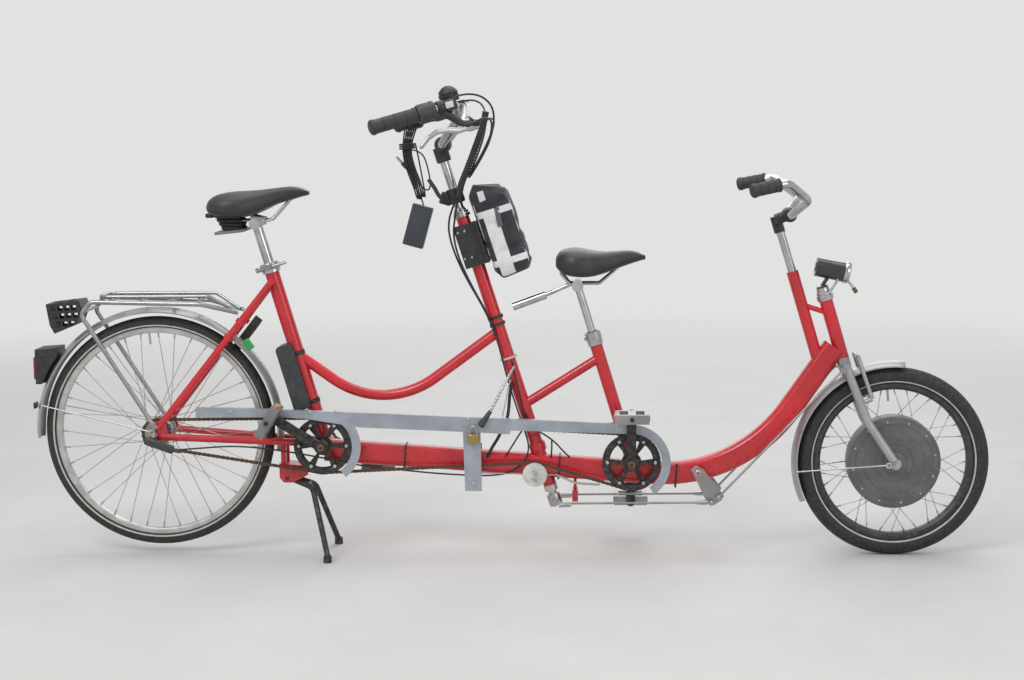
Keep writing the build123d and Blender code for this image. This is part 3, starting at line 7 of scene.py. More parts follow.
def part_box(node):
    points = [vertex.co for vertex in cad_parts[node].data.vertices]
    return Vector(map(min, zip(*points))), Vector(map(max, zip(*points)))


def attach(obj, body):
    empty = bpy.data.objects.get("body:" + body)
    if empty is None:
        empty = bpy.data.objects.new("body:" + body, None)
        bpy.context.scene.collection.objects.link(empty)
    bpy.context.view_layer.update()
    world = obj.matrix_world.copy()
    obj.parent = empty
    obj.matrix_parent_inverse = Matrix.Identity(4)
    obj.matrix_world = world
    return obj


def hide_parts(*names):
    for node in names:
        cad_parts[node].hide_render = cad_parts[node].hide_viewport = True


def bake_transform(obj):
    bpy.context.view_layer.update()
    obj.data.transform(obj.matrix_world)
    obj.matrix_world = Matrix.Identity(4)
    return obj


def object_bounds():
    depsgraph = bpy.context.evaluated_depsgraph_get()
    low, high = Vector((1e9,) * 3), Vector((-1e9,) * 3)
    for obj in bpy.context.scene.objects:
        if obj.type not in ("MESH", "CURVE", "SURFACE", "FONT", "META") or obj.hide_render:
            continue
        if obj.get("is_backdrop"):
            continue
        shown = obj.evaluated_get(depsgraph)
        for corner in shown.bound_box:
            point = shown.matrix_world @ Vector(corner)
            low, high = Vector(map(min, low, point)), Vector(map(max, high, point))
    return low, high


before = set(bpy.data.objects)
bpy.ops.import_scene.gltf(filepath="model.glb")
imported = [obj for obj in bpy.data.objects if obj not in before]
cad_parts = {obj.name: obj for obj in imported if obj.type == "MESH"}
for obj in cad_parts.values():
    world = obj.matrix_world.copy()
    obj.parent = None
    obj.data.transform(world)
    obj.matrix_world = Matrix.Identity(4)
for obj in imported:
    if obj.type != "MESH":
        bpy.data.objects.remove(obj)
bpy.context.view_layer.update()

# Studio: a pale matt floor that fades into a pale room, with soft lamps
# above and on both sides. None of it is part of the bicycle.
ROOM = (0.76, 0.76, 0.755, 1)
FLOOR_HALF = 40.0
FLOOR_FADE = (1.7, 6.5)
LAMPS_AIM = Vector((0, 0, 0.5))
# name, place, size of the square lamp, power
LAMPS = [
    ("key_lamp", (-2.4, -3.8, 4.4), 2.4, 118),
    ("fill_lamp", (3.6, -3.6, 2.6), 2.6, 42),
    ("top_lamp", (0.2, 0.3, 4.6), 4.0, 96),
    ("back_lamp", (0.5, 4.4, 3.2), 3.5, 62),
]


def deselect():
    bpy.ops.object.select_all(action="DESELECT")


deselect()
bpy.ops.mesh.primitive_plane_add(size=2 * FLOOR_HALF, location=(0, 0, 0))
floor = bpy.context.object
floor.name = "studio_floor"
floor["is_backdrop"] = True
for name, place, size, power in LAMPS:
    bpy.ops.object.light_add(type="AREA", location=place)
    lamp = bpy.context.object
    lamp.name = name
    lamp.data.size = size
    lamp.data.energy = power
    aim = LAMPS_AIM - Vector(place)
    lamp.rotation_euler = aim.to_track_quat("-Z", "Y").to_euler()

# The camera stands where the photograph was taken, low on the bicycle's right,
# turned a little to the rear and tipped down, with no shift.
PHOTO_WIDTH = 1024
FOCAL_PIXELS = 1900
CAMERA_PLACE = (0.2355, -4.957, 1.1706)
CAMERA_YAW = 0.045
CAMERA_PITCH = -0.12
CAMERA_ROLL = 0.009
SENSOR_WIDTH = 36
VIEW_END = 200
bpy.ops.object.camera_add(location=CAMERA_PLACE)
camera = bpy.context.object
camera.data.sensor_width = SENSOR_WIDTH
camera.data.lens = FOCAL_PIXELS / PHOTO_WIDTH * SENSOR_WIDTH
turn = Matrix.Rotation(CAMERA_YAW, 3, "Z") @ Matrix.Rotation(CAMERA_PITCH, 3, "X")
turn = turn @ Matrix.Rotation(CAMERA_ROLL, 3, "Y")
right, ahead, up = turn.col
camera.rotation_euler = Matrix((right, up, -ahead)).transposed().to_euler()
camera.data.clip_end = VIEW_END
bpy.context.scene.camera = camera
bpy.context.scene.view_settings.view_transform = "Standard"

# The materials' sums are written as expressions: a Wire is one output of a
# node, and adding, scaling or comparing wires adds the Math nodes they need.


class Wire:
    def __init__(self, tree, socket=None):
        self.tree = tree
        self.socket = socket

    def node(self, kind, settings=None, inputs=None, out=0):
        made = self.tree.nodes.new("ShaderNode" + kind)
        for key, value in (settings or {}).items():
            if key == "stops":
                while len(made.color_ramp.elements) < len(value):
                    made.color_ramp.elements.new(0.5)
                for element, (place, colour) in zip(made.color_ramp.elements, value):
                    element.position = place
                    element.color = colour
            else:
                setattr(made, key, value)
        for key, value in (inputs or {}).items():
            if isinstance(value, Wire):
                self.tree.links.new(value.socket, made.inputs[key])
            else:
                made.inputs[key].default_value = value
        return Wire(self.tree, made.outputs[out])

    def sum(self, operation, a, b=0.0):
        return self.node("Math", {"operation": operation}, {0: a, 1: b})

    def __add__(self, other):
        return self.sum("ADD", self, other)

    def __sub__(self, other):
        return self.sum("SUBTRACT", self, other)

    def __mul__(self, other):
        return self.sum("MULTIPLY", self, other)

    def __gt__(self, other):
        return self.sum("GREATER_THAN", self, other)

    def __lt__(self, other):
        return self.sum("LESS_THAN", self, other)

    def __rsub__(self, other):
        return self.sum("SUBTRACT", other, self)

    def sine(self):
        return self.sum("SINE", self)

    def size(self):
        return self.sum("ABSOLUTE", self)

    def ramp(self, low, high):
        # 0 below low, 1 above high, smooth between
        inputs = {"Value": self, "From Min": low, "From Max": high}
        return self.node("MapRange", {"interpolation_type": "SMOOTHSTEP"}, inputs)

    def mix(self, a, b):
        # colour a where this wire is 0, colour b where it is 1
        settings = {"data_type": "RGBA", "clamp_factor": True}
        return self.node("Mix", settings, {0: self, 6: a, 7: b}, 2)

    def noise(self, place, scale, detail=3.0, rough=0.55):
        inputs = {"Vector": place, "Scale": scale, "Detail": detail, "Roughness": rough}
        return self.node("TexNoise", {}, inputs)


def rgba(colour):
    return (*colour, 1) if len(colour) == 3 else tuple(colour)


def scaled(colour, k):
    return tuple(min(1, c * k) for c in colour[:3])


def new_finish(name):
    # a new material with its principled shader, and the wire of Object coordinates
    made = bpy.data.materials.new(name)
    made.use_nodes = True
    shader = made.node_tree.nodes["Principled BSDF"]
    place = Wire(made.node_tree).node("TexCoord", {}, {}, "Object")
    return made, shader, place


def link(shader, name, value):
    if isinstance(value, Wire):
        value.tree.links.new(value.socket, shader.inputs[name])
    else:
        shader.inputs[name].default_value = value


def bump(height, strength, distance):
    # the wire of a normal tilted by a height, at a depth in metres
    return height.node("Bump", {}, {"Height": height, "Strength": strength, "Distance": distance})


DUST_COLOUR = (0.32, 0.29, 0.25)
SCRATCH_COLOUR = (0.6, 0.58, 0.55)
DUST_TOP = 0.9


def surface(name, colour, rough, metal=0.0, coat=0.0, dust=0.25, dust_colour=DUST_COLOUR, grain=350.0,
            grain_depth=0.12, patch=14.0, scratches=0.0, scratch_colour=SCRATCH_COLOUR):
    # a used finish: patchy tone, fine grain, dust that thickens towards the
    # floor, and thin scratches
    made, shader, place = new_finish(name)
    tone = place.noise(place, patch, 4.0).ramp(0.35, 0.68)
    base = tone.mix(rgba(scaled(colour, 0.86)), rgba(scaled(colour, 1.12)))
    height = place.node("SeparateXYZ", {}, {"Vector": place}, "Z")
    fine = place.noise(place, 90.0, 5.0, 0.7)
    low = 1.0 - height.ramp(0.0, DUST_TOP)
    mask = fine.ramp(0.42, 0.75) * (low * 0.8 + 0.2) * dust
    base = mask.mix(base, rgba(dust_colour))
    if scratches:
        inputs = {"Vector": place, "Rotation": (0.3, 0.7, 0.4), "Scale": (30, 900, 160)}
        stretch = place.node("Mapping", {}, inputs)
        lines = place.noise(stretch, 1.0, 2.0).ramp(0.70, 0.76)
        lines = lines * place.noise(place, 22.0, 2.0).ramp(0.5, 0.62)
        base = (lines * scratches).mix(base, rgba(scratch_colour))
    link(shader, "Base Color", base)
    link(shader, "Roughness", mask * 0.4 + tone * 0.10 + (rough - 0.05))
    shader.inputs["Metallic"].default_value = metal
    shader.inputs["Coat Weight"].default_value = coat
    shader.inputs["Coat Roughness"].default_value = 0.08
    link(shader, "Normal", bump(place.noise(place, grain, 3.0), grain_depth, 0.0004))
    return made


FLOOR_GREY = (0.70, 0.70, 0.69)
floor_finish, floor_shader, floor_place = new_finish("floor_finish")
floor_tone = floor_place.noise(floor_place, 2.2, 5.0).ramp(0.3, 0.7)
floor_base = floor_tone.mix(rgba(scaled(FLOOR_GREY, 0.97)), rgba(scaled(FLOOR_GREY, 1.03)))
link(floor_shader, "Base Color", floor_base)
floor_shader.inputs["Roughness"].default_value = 0.85
floor_far = floor_place.node("VectorMath", {"operation": "LENGTH"}, {0: floor_place}, 1).ramp(*FLOOR_FADE)
floor_glow = floor_far.node("Emission", {}, {"Color": ROOM, "Strength": 1.0})
floor_out = floor_finish.node_tree.nodes["Material Output"]
floor_body = Wire(floor_finish.node_tree, floor_shader.outputs[0])
floor_mixed = floor_far.node("MixShader", {}, {0: floor_far, 1: floor_body, 2: floor_glow})
floor_far.tree.links.new(floor_mixed.socket, floor_out.inputs["Surface"])
floor.data.materials.append(floor_finish)

# the room lights the object at this share of the brightness that the camera sees
ROOM_LIGHT = 0.38
GLOSSY_VIEW = 0.75
world = bpy.data.worlds.new("room")
world.use_nodes = True
bpy.context.scene.world = world
sky = Wire(world.node_tree)
ray = sky.node("LightPath", {}, {}, "Is Camera Ray")
shine = sky.node("LightPath", {}, {}, "Is Glossy Ray")
seen = sky.sum("MAXIMUM", ray, shine * GLOSSY_VIEW)
link(world.node_tree.nodes["Background"], "Color", ROOM)
link(world.node_tree.nodes["Background"], "Strength", seen * (1 - ROOM_LIGHT) + ROOM_LIGHT)

# Frame: steel tubes welded up and sprayed in gloss red. A bent box tube runs
# low down from the rear cranks to the head, with round tubes above it.
FRAME_RED = (0.62, 0.010, 0.022)


def dress(finish, *nodes):
    # a CAD node keeps its shape and takes a finish
    for node in nodes:
        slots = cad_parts[node].data.materials
        slots.clear()
        slots.append(finish)


frame_red = surface("frame_red", FRAME_RED, 0.30, coat=0.45, dust=0.12, patch=9, scratches=0.35,
                    grain_depth=0.05)
dress(frame_red, "main_tube", "rear_seat_tube", "top_tube", "column_tube", "front_seat_tube", "head_tube",
      "bar_tube", "rear_stays")

# Weld beads: a low smooth ring of painted weld round each place where a tube ends
# on another. The real weld, laid by hand in short overlapping steps, is drawn as one ring.


def select_only(piece):
    deselect()
    piece.select_set(True)
    bpy.context.view_layer.objects.active = piece


def smooth(piece, angle=38):
    select_only(piece)
    bpy.ops.object.shade_smooth_by_angle(angle=radians(angle))
    return piece


def fit(piece, finish, body, slot, *stands_for):
    # a finished piece gets its finish and the body it rides on; the slot is not used
    piece.data.materials.clear()
    piece.data.materials.append(finish)
    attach(piece, body)
    if stands_for:
        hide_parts(*stands_for)
    return piece


def turned(name, profile, origin, axis, steps=64, crease=38):
    # a closed section of points (along the axis, from it) spun round the axis
    origin, axis = Vector(origin), Vector(axis).normalized()
    side = Vector((0, 0, 1)) - axis * axis.z
    if side.length < 0.3:
        side = Vector((1, 0, 0)) - axis * axis.x
    side.normalize()
    deselect()
    bpy.ops.mesh.primitive_circle_add(vertices=len(profile), radius=1, location=(0, 0, 0))
    piece = bpy.context.object
    piece.name = name
    for vertex, (along, out) in zip(piece.data.vertices, profile):
        vertex.co = origin + axis * along + side * out
    bpy.ops.object.mode_set(mode="EDIT")
    bpy.ops.mesh.select_all(action="SELECT")
    bpy.ops.mesh.spin(steps=steps, angle=2 * pi, center=origin, axis=axis)
    bpy.ops.mesh.select_all(action="SELECT")
    bpy.ops.mesh.remove_doubles(threshold=0.00002)
    bpy.ops.mesh.delete_loose()
    bpy.ops.mesh.select_all(action="SELECT")
    bpy.ops.mesh.normals_make_consistent(inside=False)
    bpy.ops.object.mode_set(mode="OBJECT")
    return smooth(piece, crease)


def joined(name, pieces):
    deselect()
    for piece in pieces:
        piece.select_set(True)
    bpy.context.view_layer.objects.active = pieces[0]
    if len(pieces) > 1:
        bpy.ops.object.join()
    pieces[0].name = name
    return pieces[0]


BEAD_R = 0.0022
BEAD_SIDES = 8


def bead(centre, normal, radius):
    # a small ring of weld round a tube
    angles = [2 * pi * k / BEAD_SIDES for k in range(BEAD_SIDES)]
    section = [(BEAD_R * cos(a), radius + BEAD_R * sin(a)) for a in angles]
    return turned("weld", section, centre, normal, 48, 60)


def centre_of(node):
    low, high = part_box(node)
    return (Vector(low) + Vector(high)) / 2


REAR_HUB = centre_of("rear_tyre")


def at(x, z, y=0.0):
    # a place ahead of the rear axle's line, above the floor and to the left
    return Vector((REAR_HUB.x + x, y, z))


SEAT_TUBE_DIR = (at(0.305, 0.766) - at(0.441, 0.300)).normalized()
COLUMN_DIR = (at(0.813, 0.897) - at(1.037, 0.187)).normalized()
FRONT_SEAT_DIR = (at(1.155, 0.577) - at(1.252, 0.255)).normalized()
# a place on each joint, the direction of the tube that ends there, its radius
WELDS = [
    (at(0.441, 0.328) + SEAT_TUBE_DIR * 0.004, SEAT_TUBE_DIR, 0.0190),
    (at(0.995, 0.321), COLUMN_DIR, 0.0175),
    (at(1.2455, 0.2885), FRONT_SEAT_DIR, 0.0165),
]
weld_beads = joined("weld_beads", [bead(*row) for row in WELDS])
fit(weld_beads, frame_red, "frame", "frame_paint")

# Tyres: black rubber, narrow behind and wide in front, with two grooves,
# cross cuts on the shoulders and a pale reflecting line beside the rim.
FRONT_HUB = centre_of("front_tyre")
TREAD_STEPS = 180
GROOVE = 0.0011
GROOVE_ANGLES = (20, 44)
# the shoulders' cross cuts: from and to this angle of the section, one step in three
CUT_ANGLES = (26, 62)
CUT_EVERY = 3
# name, hub, outer radius, half width, last angle of the section, pale line, body
TYRES = [
    ("rear_tyre", REAR_HUB, 0.307, 0.0185, 124, (0.2815, 0.2855), "rear_wheel"),
    ("front_tyre", FRONT_HUB, 0.249, 0.0235, 140, (0.2110, 0.2145), "front_wheel"),
]
RUBBER = (0.020, 0.020, 0.021)
PALE_LINE = (0.62, 0.60, 0.55, 1)


def from_axle(place, hub):
    # the wire of the distance from a wheel's axle line
    flat = place.node("VectorMath", {"operation": "MULTIPLY"}, {0: place, 1: (1, 0, 1)})
    return place.node("VectorMath", {"operation": "DISTANCE"}, {0: flat, 1: (hub.x, 0, hub.z)}, 1)


def tyre_finish(name, hub, line, outer):
    made, shader, place = new_finish(name)
    out = from_axle(place, hub)
    tone = place.noise(place, 30.0, 4.0).ramp(0.3, 0.7)
    base = tone.mix(rgba(scaled(RUBBER, 0.8)), rgba(scaled(RUBBER, 1.5)))
    dust = place.noise(place, 120.0, 4.0, 0.7).ramp(0.45, 0.75)
    worn = out.ramp(outer - 0.012, outer) * 0.5 + 0.25
    base = (dust * worn).mix(base, (0.16, 0.145, 0.125, 1))
    edge = (out > line[0]) * (out < line[1])
    grime = place.noise(place, 60.0, 4.0).ramp(0.35, 0.8)
    pale = (grime * 0.55).mix(PALE_LINE, (0.30, 0.28, 0.25, 1))
    base = edge.mix(base, pale)
    link(shader, "Base Color", base)
    link(shader, "Roughness", tone * 0.12 + 0.62)
    ribs = (out * 2600.0).sine() * (out < outer - 0.016)
    height = place.noise(place, 500.0, 2.0) + ribs * 0.35
    link(shader, "Normal", bump(height, 0.25, 0.0004))
    return made


for name, hub, outer, half, last, line, body in TYRES:
    middle = outer - half
    section = []
    for angle in range(-last, last + 1, 8):
        depth = GROOVE if abs(angle) in GROOVE_ANGLES else 0.0
        a = radians(angle)
        section.append(((half - depth) * sin(a), middle + (half - depth) * cos(a)))
    inner = section[0][1] + 0.002
    section += [(section[-1][0] - 0.004, inner), (section[0][0] + 0.004, inner)]
    tyre = turned(name + "_rubber", section, hub, (0, 1, 0), TREAD_STEPS, 50)
    for vertex in tyre.data.vertices:
        rel = vertex.co - hub
        r = hypot(rel.x, rel.z)
        tilt = abs(degrees(atan2(rel.y, r - middle)))
        step = round(degrees(atan2(rel.z, rel.x)) * TREAD_STEPS / 360)
        if CUT_ANGLES[0] < tilt < CUT_ANGLES[1] and step % CUT_EVERY == 0:
            vertex.co -= Vector((rel.x, 0, rel.z)) / r * GROOVE
    fit(tyre, tyre_finish(name + "_finish", hub, line, outer), body, "tyre_rubber", name)

# Rims and spokes: a pale steel rim behind and a dark alloy one in front, each
# laced with 36 plain steel spokes, crossed behind and short to the motor.
SPOKES = 36
SPOKE_R = 0.0010
NIPPLE_R = 0.0021
NIPPLE_L = 0.013
VALVE_ANGLE = 95
VALVE_L = 0.030


def rod(name, a, b, radius, sides=12, tip=None):
    # a straight bar between two places, tapered if a tip radius is given
    a, b = Vector(a), Vector(b)
    turn = (b - a).to_track_quat("Z", "Y").to_euler()
    deselect()
    bpy.ops.mesh.primitive_cone_add(vertices=sides, radius1=radius, radius2=tip or radius,
                                    depth=(b - a).length, location=(a + b) / 2, rotation=turn)
    piece = bpy.context.object
    piece.name = name
    bpy.ops.object.transform_apply(location=True, rotation=True, scale=True)
    return smooth(piece)


def spread(piece, count, centre):
    # copies set evenly round a wheel's axle, joined to one piece
    copies = [piece]
    for k in range(1, count):
        twin = piece.copy()
        twin.data = piece.data.copy()
        bpy.context.collection.objects.link(twin)
        turn = Matrix.Rotation(2 * pi * k / count, 4, "Y")
        twin.data.transform(Matrix.Translation(centre) @ turn @ Matrix.Translation(-centre))
        copies.append(twin)
    return joined(piece.name, copies)


def round_hub(hub, radius, angle, y):
    # a place on a circle round a hub, at an angle up from ahead
    return hub + Vector((radius * cos(radians(angle)), y, radius * sin(radians(angle))))


rim_steel = surface("rim_steel", (0.56, 0.56, 0.55), 0.34, metal=0.6, dust=0.30, patch=30, grain=220)
rim_dark = surface("rim_dark", (0.055, 0.056, 0.060), 0.42, metal=0.55, dust=0.30, patch=30, grain=220)
spoke_steel = surface("spoke_steel", (0.46, 0.46, 0.46), 0.32, metal=0.9, dust=0.25)
REAR_RIM = [(-0.0112, 0.2788), (-0.0126, 0.2778), (-0.0126, 0.2750), (-0.0118, 0.2744), (-0.0118, 0.2690),
            (-0.0095, 0.2642), (-0.0040, 0.2622), (0.0040, 0.2622), (0.0095, 0.2642), (0.0118, 0.2690),
            (0.0118, 0.2744), (0.0126, 0.2750), (0.0126, 0.2778), (0.0112, 0.2788)]
FRONT_RIM = [(-0.0138, 0.2078), (-0.0150, 0.2066), (-0.0150, 0.2040), (-0.0142, 0.2034), (-0.0142, 0.1975),
             (-0.0100, 0.1915), (-0.0045, 0.1898), (0.0045, 0.1898), (0.0100, 0.1915), (0.0142, 0.1975),
             (0.0142, 0.2034), (0.0150, 0.2040), (0.0150, 0.2066), (0.0138, 0.2078)]
# name, hub, rim section, finish, slot, spoke's inner radius, its side, lead, body
WHEELS = [
    ("rear_rim", REAR_HUB, REAR_RIM, rim_steel, "steel", 0.0335, 0.027, 62.0, "rear_wheel"),
    ("front_rim", FRONT_HUB, FRONT_RIM, rim_dark, "alloy", 0.1185, 0.020, 14.0, "front_wheel"),
]
for name, hub, section, finish, slot, inner, side_y, lead, body in WHEELS:
    rim = turned(name + "_ring", section, hub, (0, 1, 0), 144, 30)
    fit(rim, finish, body, slot, name)
    rim_r = min(r for along, r in section)
    wires = []
    for k in range(4):
        side = 1 if k % 2 else -1
        lean = lead if k // 2 else -lead
        angle = 360 * k / SPOKES
        low = round_hub(hub, inner, angle + lean, side * side_y)
        high = round_hub(hub, rim_r, angle, side * 0.002)
        up = (high - low).normalized()
        wires.append(rod("spoke", low, high, SPOKE_R, 6))
        wires.append(rod("nipple", high - up * NIPPLE_L, high + up * 0.001, NIPPLE_R, 6))
        inside, outside = Vector((0, side * 0.0005, 0)), Vector((0, side * 0.003, 0))
        wires.append(rod("head", low - inside, low + outside, 2 * SPOKE_R, 6))
    laced = spread(joined(name + "_spokes", wires), SPOKES // 4, hub)
    fit(laced, spoke_steel, body, "steel")
    valve = rod(name + "_valve", round_hub(hub, rim_r + 0.001, VALVE_ANGLE, 0),
                round_hub(hub, rim_r - VALVE_L, VALVE_ANGLE, 0), 0.003, 10)
    fit(valve, spoke_steel, body, "steel")

# Hub motor: a cast drum in the front wheel, in stepped rings with a low boss,
# its side covers held by a ring of screws. The rear hub is a small geared one.
MOTOR_GREY = (0.150, 0.152, 0.156)
MOTOR_SCREWS = 12
MOTOR_SCREW_RING = 0.1078
MOTOR_SCREW_Y = 0.0264
motor_cast = surface("motor_cast", MOTOR_GREY, 0.46, metal=0.45, dust=0.35, dust_colour=(0.26, 0.25, 0.23),
                     patch=24, grain=420, grain_depth=0.2, scratches=0.25)
hub_alloy = surface("hub_alloy", (0.42, 0.42, 0.42), 0.36, metal=0.85, dust=0.4)
screw_steel = surface("screw_steel", (0.52, 0.52, 0.52), 0.30, metal=0.95, dust=0.2)
MOTOR_FACE = [(0.0200, 0.1220), (0.0232, 0.1212), (0.0246, 0.1184), (0.0246, 0.1150), (0.0262, 0.1138),
              (0.0270, 0.1010), (0.0256, 0.0998), (0.0260, 0.0800), (0.0276, 0.0788), (0.0282, 0.0500),
              (0.0268, 0.0488), (0.0272, 0.0300), (0.0340, 0.0285), (0.0350, 0.0262), (0.0350, 0.0066)]
motor_section = MOTOR_FACE + [(-along, r) for along, r in reversed(MOTOR_FACE)]
drum = turned("motor_drum", motor_section, FRONT_HUB, (0, 1, 0), 96, 25)
fit(drum, motor_cast, "front_wheel", "motor_alloy", "hub_motor")
dress(hub_alloy, "rear_hub")
dress(screw_steel, "rear_axle", "front_axle")


def screw(name, place, way, radius=0.003, height=0.0024):
    # a domed screw head with a socket
    dome = [(0, 0), (0, radius), (height * 0.6, radius), (height, radius * 0.72), (height, radius * 0.42),
            (height * 0.4, radius * 0.42), (height * 0.4, 0)]
    return turned(name, dome, place, way, 12, 30)


motor_screws = []
for side in (-1, 1):
    place = round_hub(FRONT_HUB, MOTOR_SCREW_RING, 10, side * MOTOR_SCREW_Y)
    motor_screws.append(spread(screw("screw", place, (0, side, 0), 0.0032), MOTOR_SCREWS, FRONT_HUB))
fit(joined("motor_screws", motor_screws), screw_steel, "front_wheel", "steel")

# Mudguards: thin silver plastic blades with rolled edges over both wheels,
# held by wire stays. The rear one reaches down behind to axle height.
silver_guard = surface("silver_guard", (0.40, 0.41, 0.425), 0.30, metal=0.35, coat=0.25, dust=0.22, patch=8,
                       scratches=0.4, grain_depth=0.04)
stay_wire = surface("stay_wire", (0.55, 0.55, 0.55), 0.28, metal=0.95, dust=0.2)
GUARD_SAG = 0.011
GUARD_T = 0.0016
ROLL = 0.0018


def skin(name, rows, around, shape, crease=40):
    # a grid wrapped over shape(u, v): u runs along the piece and v round it
    deselect()
    bpy.ops.mesh.primitive_grid_add(x_subdivisions=rows, y_subdivisions=around, size=1, location=(0, 0, 0))
    piece = bpy.context.object
    piece.name = name
    for vertex in piece.data.vertices:
        vertex.co = shape(vertex.co.x + 0.5, vertex.co.y + 0.5)
    bpy.ops.object.mode_set(mode="EDIT")
    bpy.ops.mesh.select_all(action="SELECT")
    bpy.ops.mesh.remove_doubles(threshold=0.00002)
    bpy.ops.mesh.fill_holes(sides=0)
    bpy.ops.mesh.select_all(action="SELECT")
    bpy.ops.mesh.normals_make_consistent(inside=False)
    bpy.ops.object.mode_set(mode="OBJECT")
    return smooth(piece, crease)


def guard_section(radius, width):
    # the blade's crown outside, a rolled edge, the crown inside, and back
    half = width / 2
    outer = [(half * k / 6, radius - GUARD_SAG * (k / 6) ** 2) for k in range(-6, 7)]
    roll = [(half, radius - GUARD_SAG - 2 * ROLL), (half - 1.6 * ROLL, radius - GUARD_SAG - 2 * ROLL)]
    inner = [(half * k / 7, radius - GUARD_T - GUARD_SAG * (k / 6) ** 2) for k in range(6, -7, -1)]
    return outer + roll + inner + [(-y, r) for y, r in reversed(roll)]


# node, hub, radius, width, tail and front angle from the top, body
GUARDS = [
    ("rear_mudguard", REAR_HUB, 0.332, 0.056, -93, 99, "frame"),
    ("front_mudguard", FRONT_HUB, 0.266, 0.060, -114, 6, "fork"),
]
for node, hub, radius, width, tail, front, body in GUARDS:
    section = guard_section(radius, width)
    count = len(section)

    def blade(u, v, section=section, count=count, hub=hub, tail=tail, front=front):
        y, r = section[round(v * count) % count]
        a = radians(tail + (front - tail) * u)
        # the ends are rounded off at the corners
        close = max(0, 1 - min(u, 1 - u) * 40)
        return hub + Vector((r * sin(a), y * (1 - 0.25 * close ** 2), r * cos(a)))

    fit(skin(node + "_blade", 72, count, blade, 50), silver_guard, body, "silver_plastic", node)

STAY_R = 0.0021
STAY_EYE = [(0.002, 0.004), (0.002, 0.008), (-0.002, 0.008), (-0.002, 0.004)]
# name, hub end and its side distance, guard end and its side distance, body
STAYS = [
    ("rear_stay", (-0.006, 0.341), 0.0765, (-0.3115, 0.4050), 0.0275, "frame"),
    ("front_stay", (1.918, 0.249), 0.0670, (1.6845, 0.2250), 0.0295, "fork"),
]
for name, low, low_y, high, high_y, body in STAYS:
    wires = []
    for side in (-1, 1):
        hub_end = at(*low, side * low_y)
        wires.append(rod("wire", hub_end, at(*high, side * high_y), STAY_R, 10))
        wires.append(turned("eye", STAY_EYE, hub_end, (0, 1, 0), 20))
    fit(joined(name + "s", wires), stay_wire, body, "chrome")

# Drive: black chainrings and cranks with silver bolts and rusty centre nuts,
# and one long rusty chain of pressed links over the sprocket, rings and idler.
black_drive = surface("black_drive", (0.020, 0.020, 0.022), 0.42, metal=0.25, dust=0.42, scratches=0.5,
                      scratch_colour=(0.35, 0.33, 0.31))
white_roller = surface("white_roller", (0.72, 0.72, 0.69), 0.45, dust=0.45, dust_colour=(0.22, 0.18, 0.13))
rusty_nut = surface("rusty_nut", (0.20, 0.105, 0.055), 0.75, metal=0.3, dust=0.3, patch=120, grain=600,
                    grain_depth=0.5)
REAR_BB = at(0.441, 0.300)
FRONT_BB = at(1.252, 0.255)
IDLER = at(0.999, 0.222)
CHAIN_Y = -0.048
CRANK_NUT_Y = 0.086
RING_BOLTS = 6
RING_BOLT_R = 0.0625
dress(black_drive, "rear_ring", "front_ring", "rear_crank", "front_crank")
dress(white_roller, "idler")

for name, centre, body in (("rear", REAR_BB, "rear_crank"), ("front", FRONT_BB, "front_crank")):
    nuts = [screw("nut", centre + Vector((0, side * CRANK_NUT_Y, 0)), (0, side, 0), 0.0098, 0.0075)
            for side in (-1, 1)]
    fit(joined(name + "_crank_nuts", nuts), rusty_nut, body, "rusty_steel")
    first = screw("bolt", round_hub(centre, RING_BOLT_R, 0, CHAIN_Y - 0.0095), (0, -1, 0), 0.0046, 0.0026)
    ring_bolts = spread(first, RING_BOLTS, centre)
    ring_bolts.name = name + "_ring_bolts"
    fit(ring_bolts, screw_steel, body, "steel")
roller_screws = [screw("screw", IDLER + Vector((0, CHAIN_Y - 0.0120, rise)), (0, -1, 0), 0.0072, 0.0022)
                 for rise in (-0.009, 0.009)]
fit(joined("roller_screws", roller_screws), screw_steel, "frame", "steel")

chain_rust = surface("chain_rust", (0.115, 0.068, 0.045), 0.62, metal=0.45, dust=0.5,
                     dust_colour=(0.20, 0.12, 0.075), patch=60, grain=900, grain_depth=0.3)
CHAIN_PITCH = 0.0127
LINK_H = 0.0086
LINK_T = 0.0012
SPROCKET_TEETH = 18
RING_TEETH = 36
IDLER_R = 0.0275


def pitch_radius(teeth):
    return CHAIN_PITCH / (2 * sin(pi / teeth))


# centre, pitch radius, and the side of the travel that it lies on
PULLEYS = [
    (REAR_HUB, pitch_radius(SPROCKET_TEETH), -1),
    (REAR_BB, pitch_radius(RING_TEETH), -1),
    (FRONT_BB, pitch_radius(RING_TEETH), -1),
    (IDLER, IDLER_R + LINK_H / 2 + 0.0003, 1),
    (REAR_BB, pitch_radius(RING_TEETH), -1),
]


def chain_path():
    # straight runs and the arcs between them, as (kind, length, data)
    runs = []
    for k, (c1, r1, s1) in enumerate(PULLEYS):
        c2, r2, s2 = PULLEYS[(k + 1) % len(PULLEYS)]
        dx, dz = c2.x - c1.x, c2.z - c1.z
        tilt = atan2(dz, dx) + asin((s1 * r1 - s2 * r2) / hypot(dx, dz))
        nx, nz = -sin(tilt), cos(tilt)
        a = (c1.x - s1 * r1 * nx, c1.z - s1 * r1 * nz)
        b = (c2.x - s2 * r2 * nx, c2.z - s2 * r2 * nz)
        runs.append((a, b))
    path = []
    for k, (a, b) in enumerate(runs):
        path.append(("run", hypot(b[0] - a[0], b[1] - a[1]), (a, b)))
        centre, r, s = PULLEYS[(k + 1) % len(PULLEYS)]
        after = runs[(k + 1) % len(runs)][0]
        start = atan2(b[1] - centre.z, b[0] - centre.x)
        turn = atan2(after[1] - centre.z, after[0] - centre.x) - start
        turn = turn % (2 * pi) if s > 0 else -((-turn) % (2 * pi))
        path.append(("arc", abs(turn) * r, (centre, r, start, turn)))
    return path


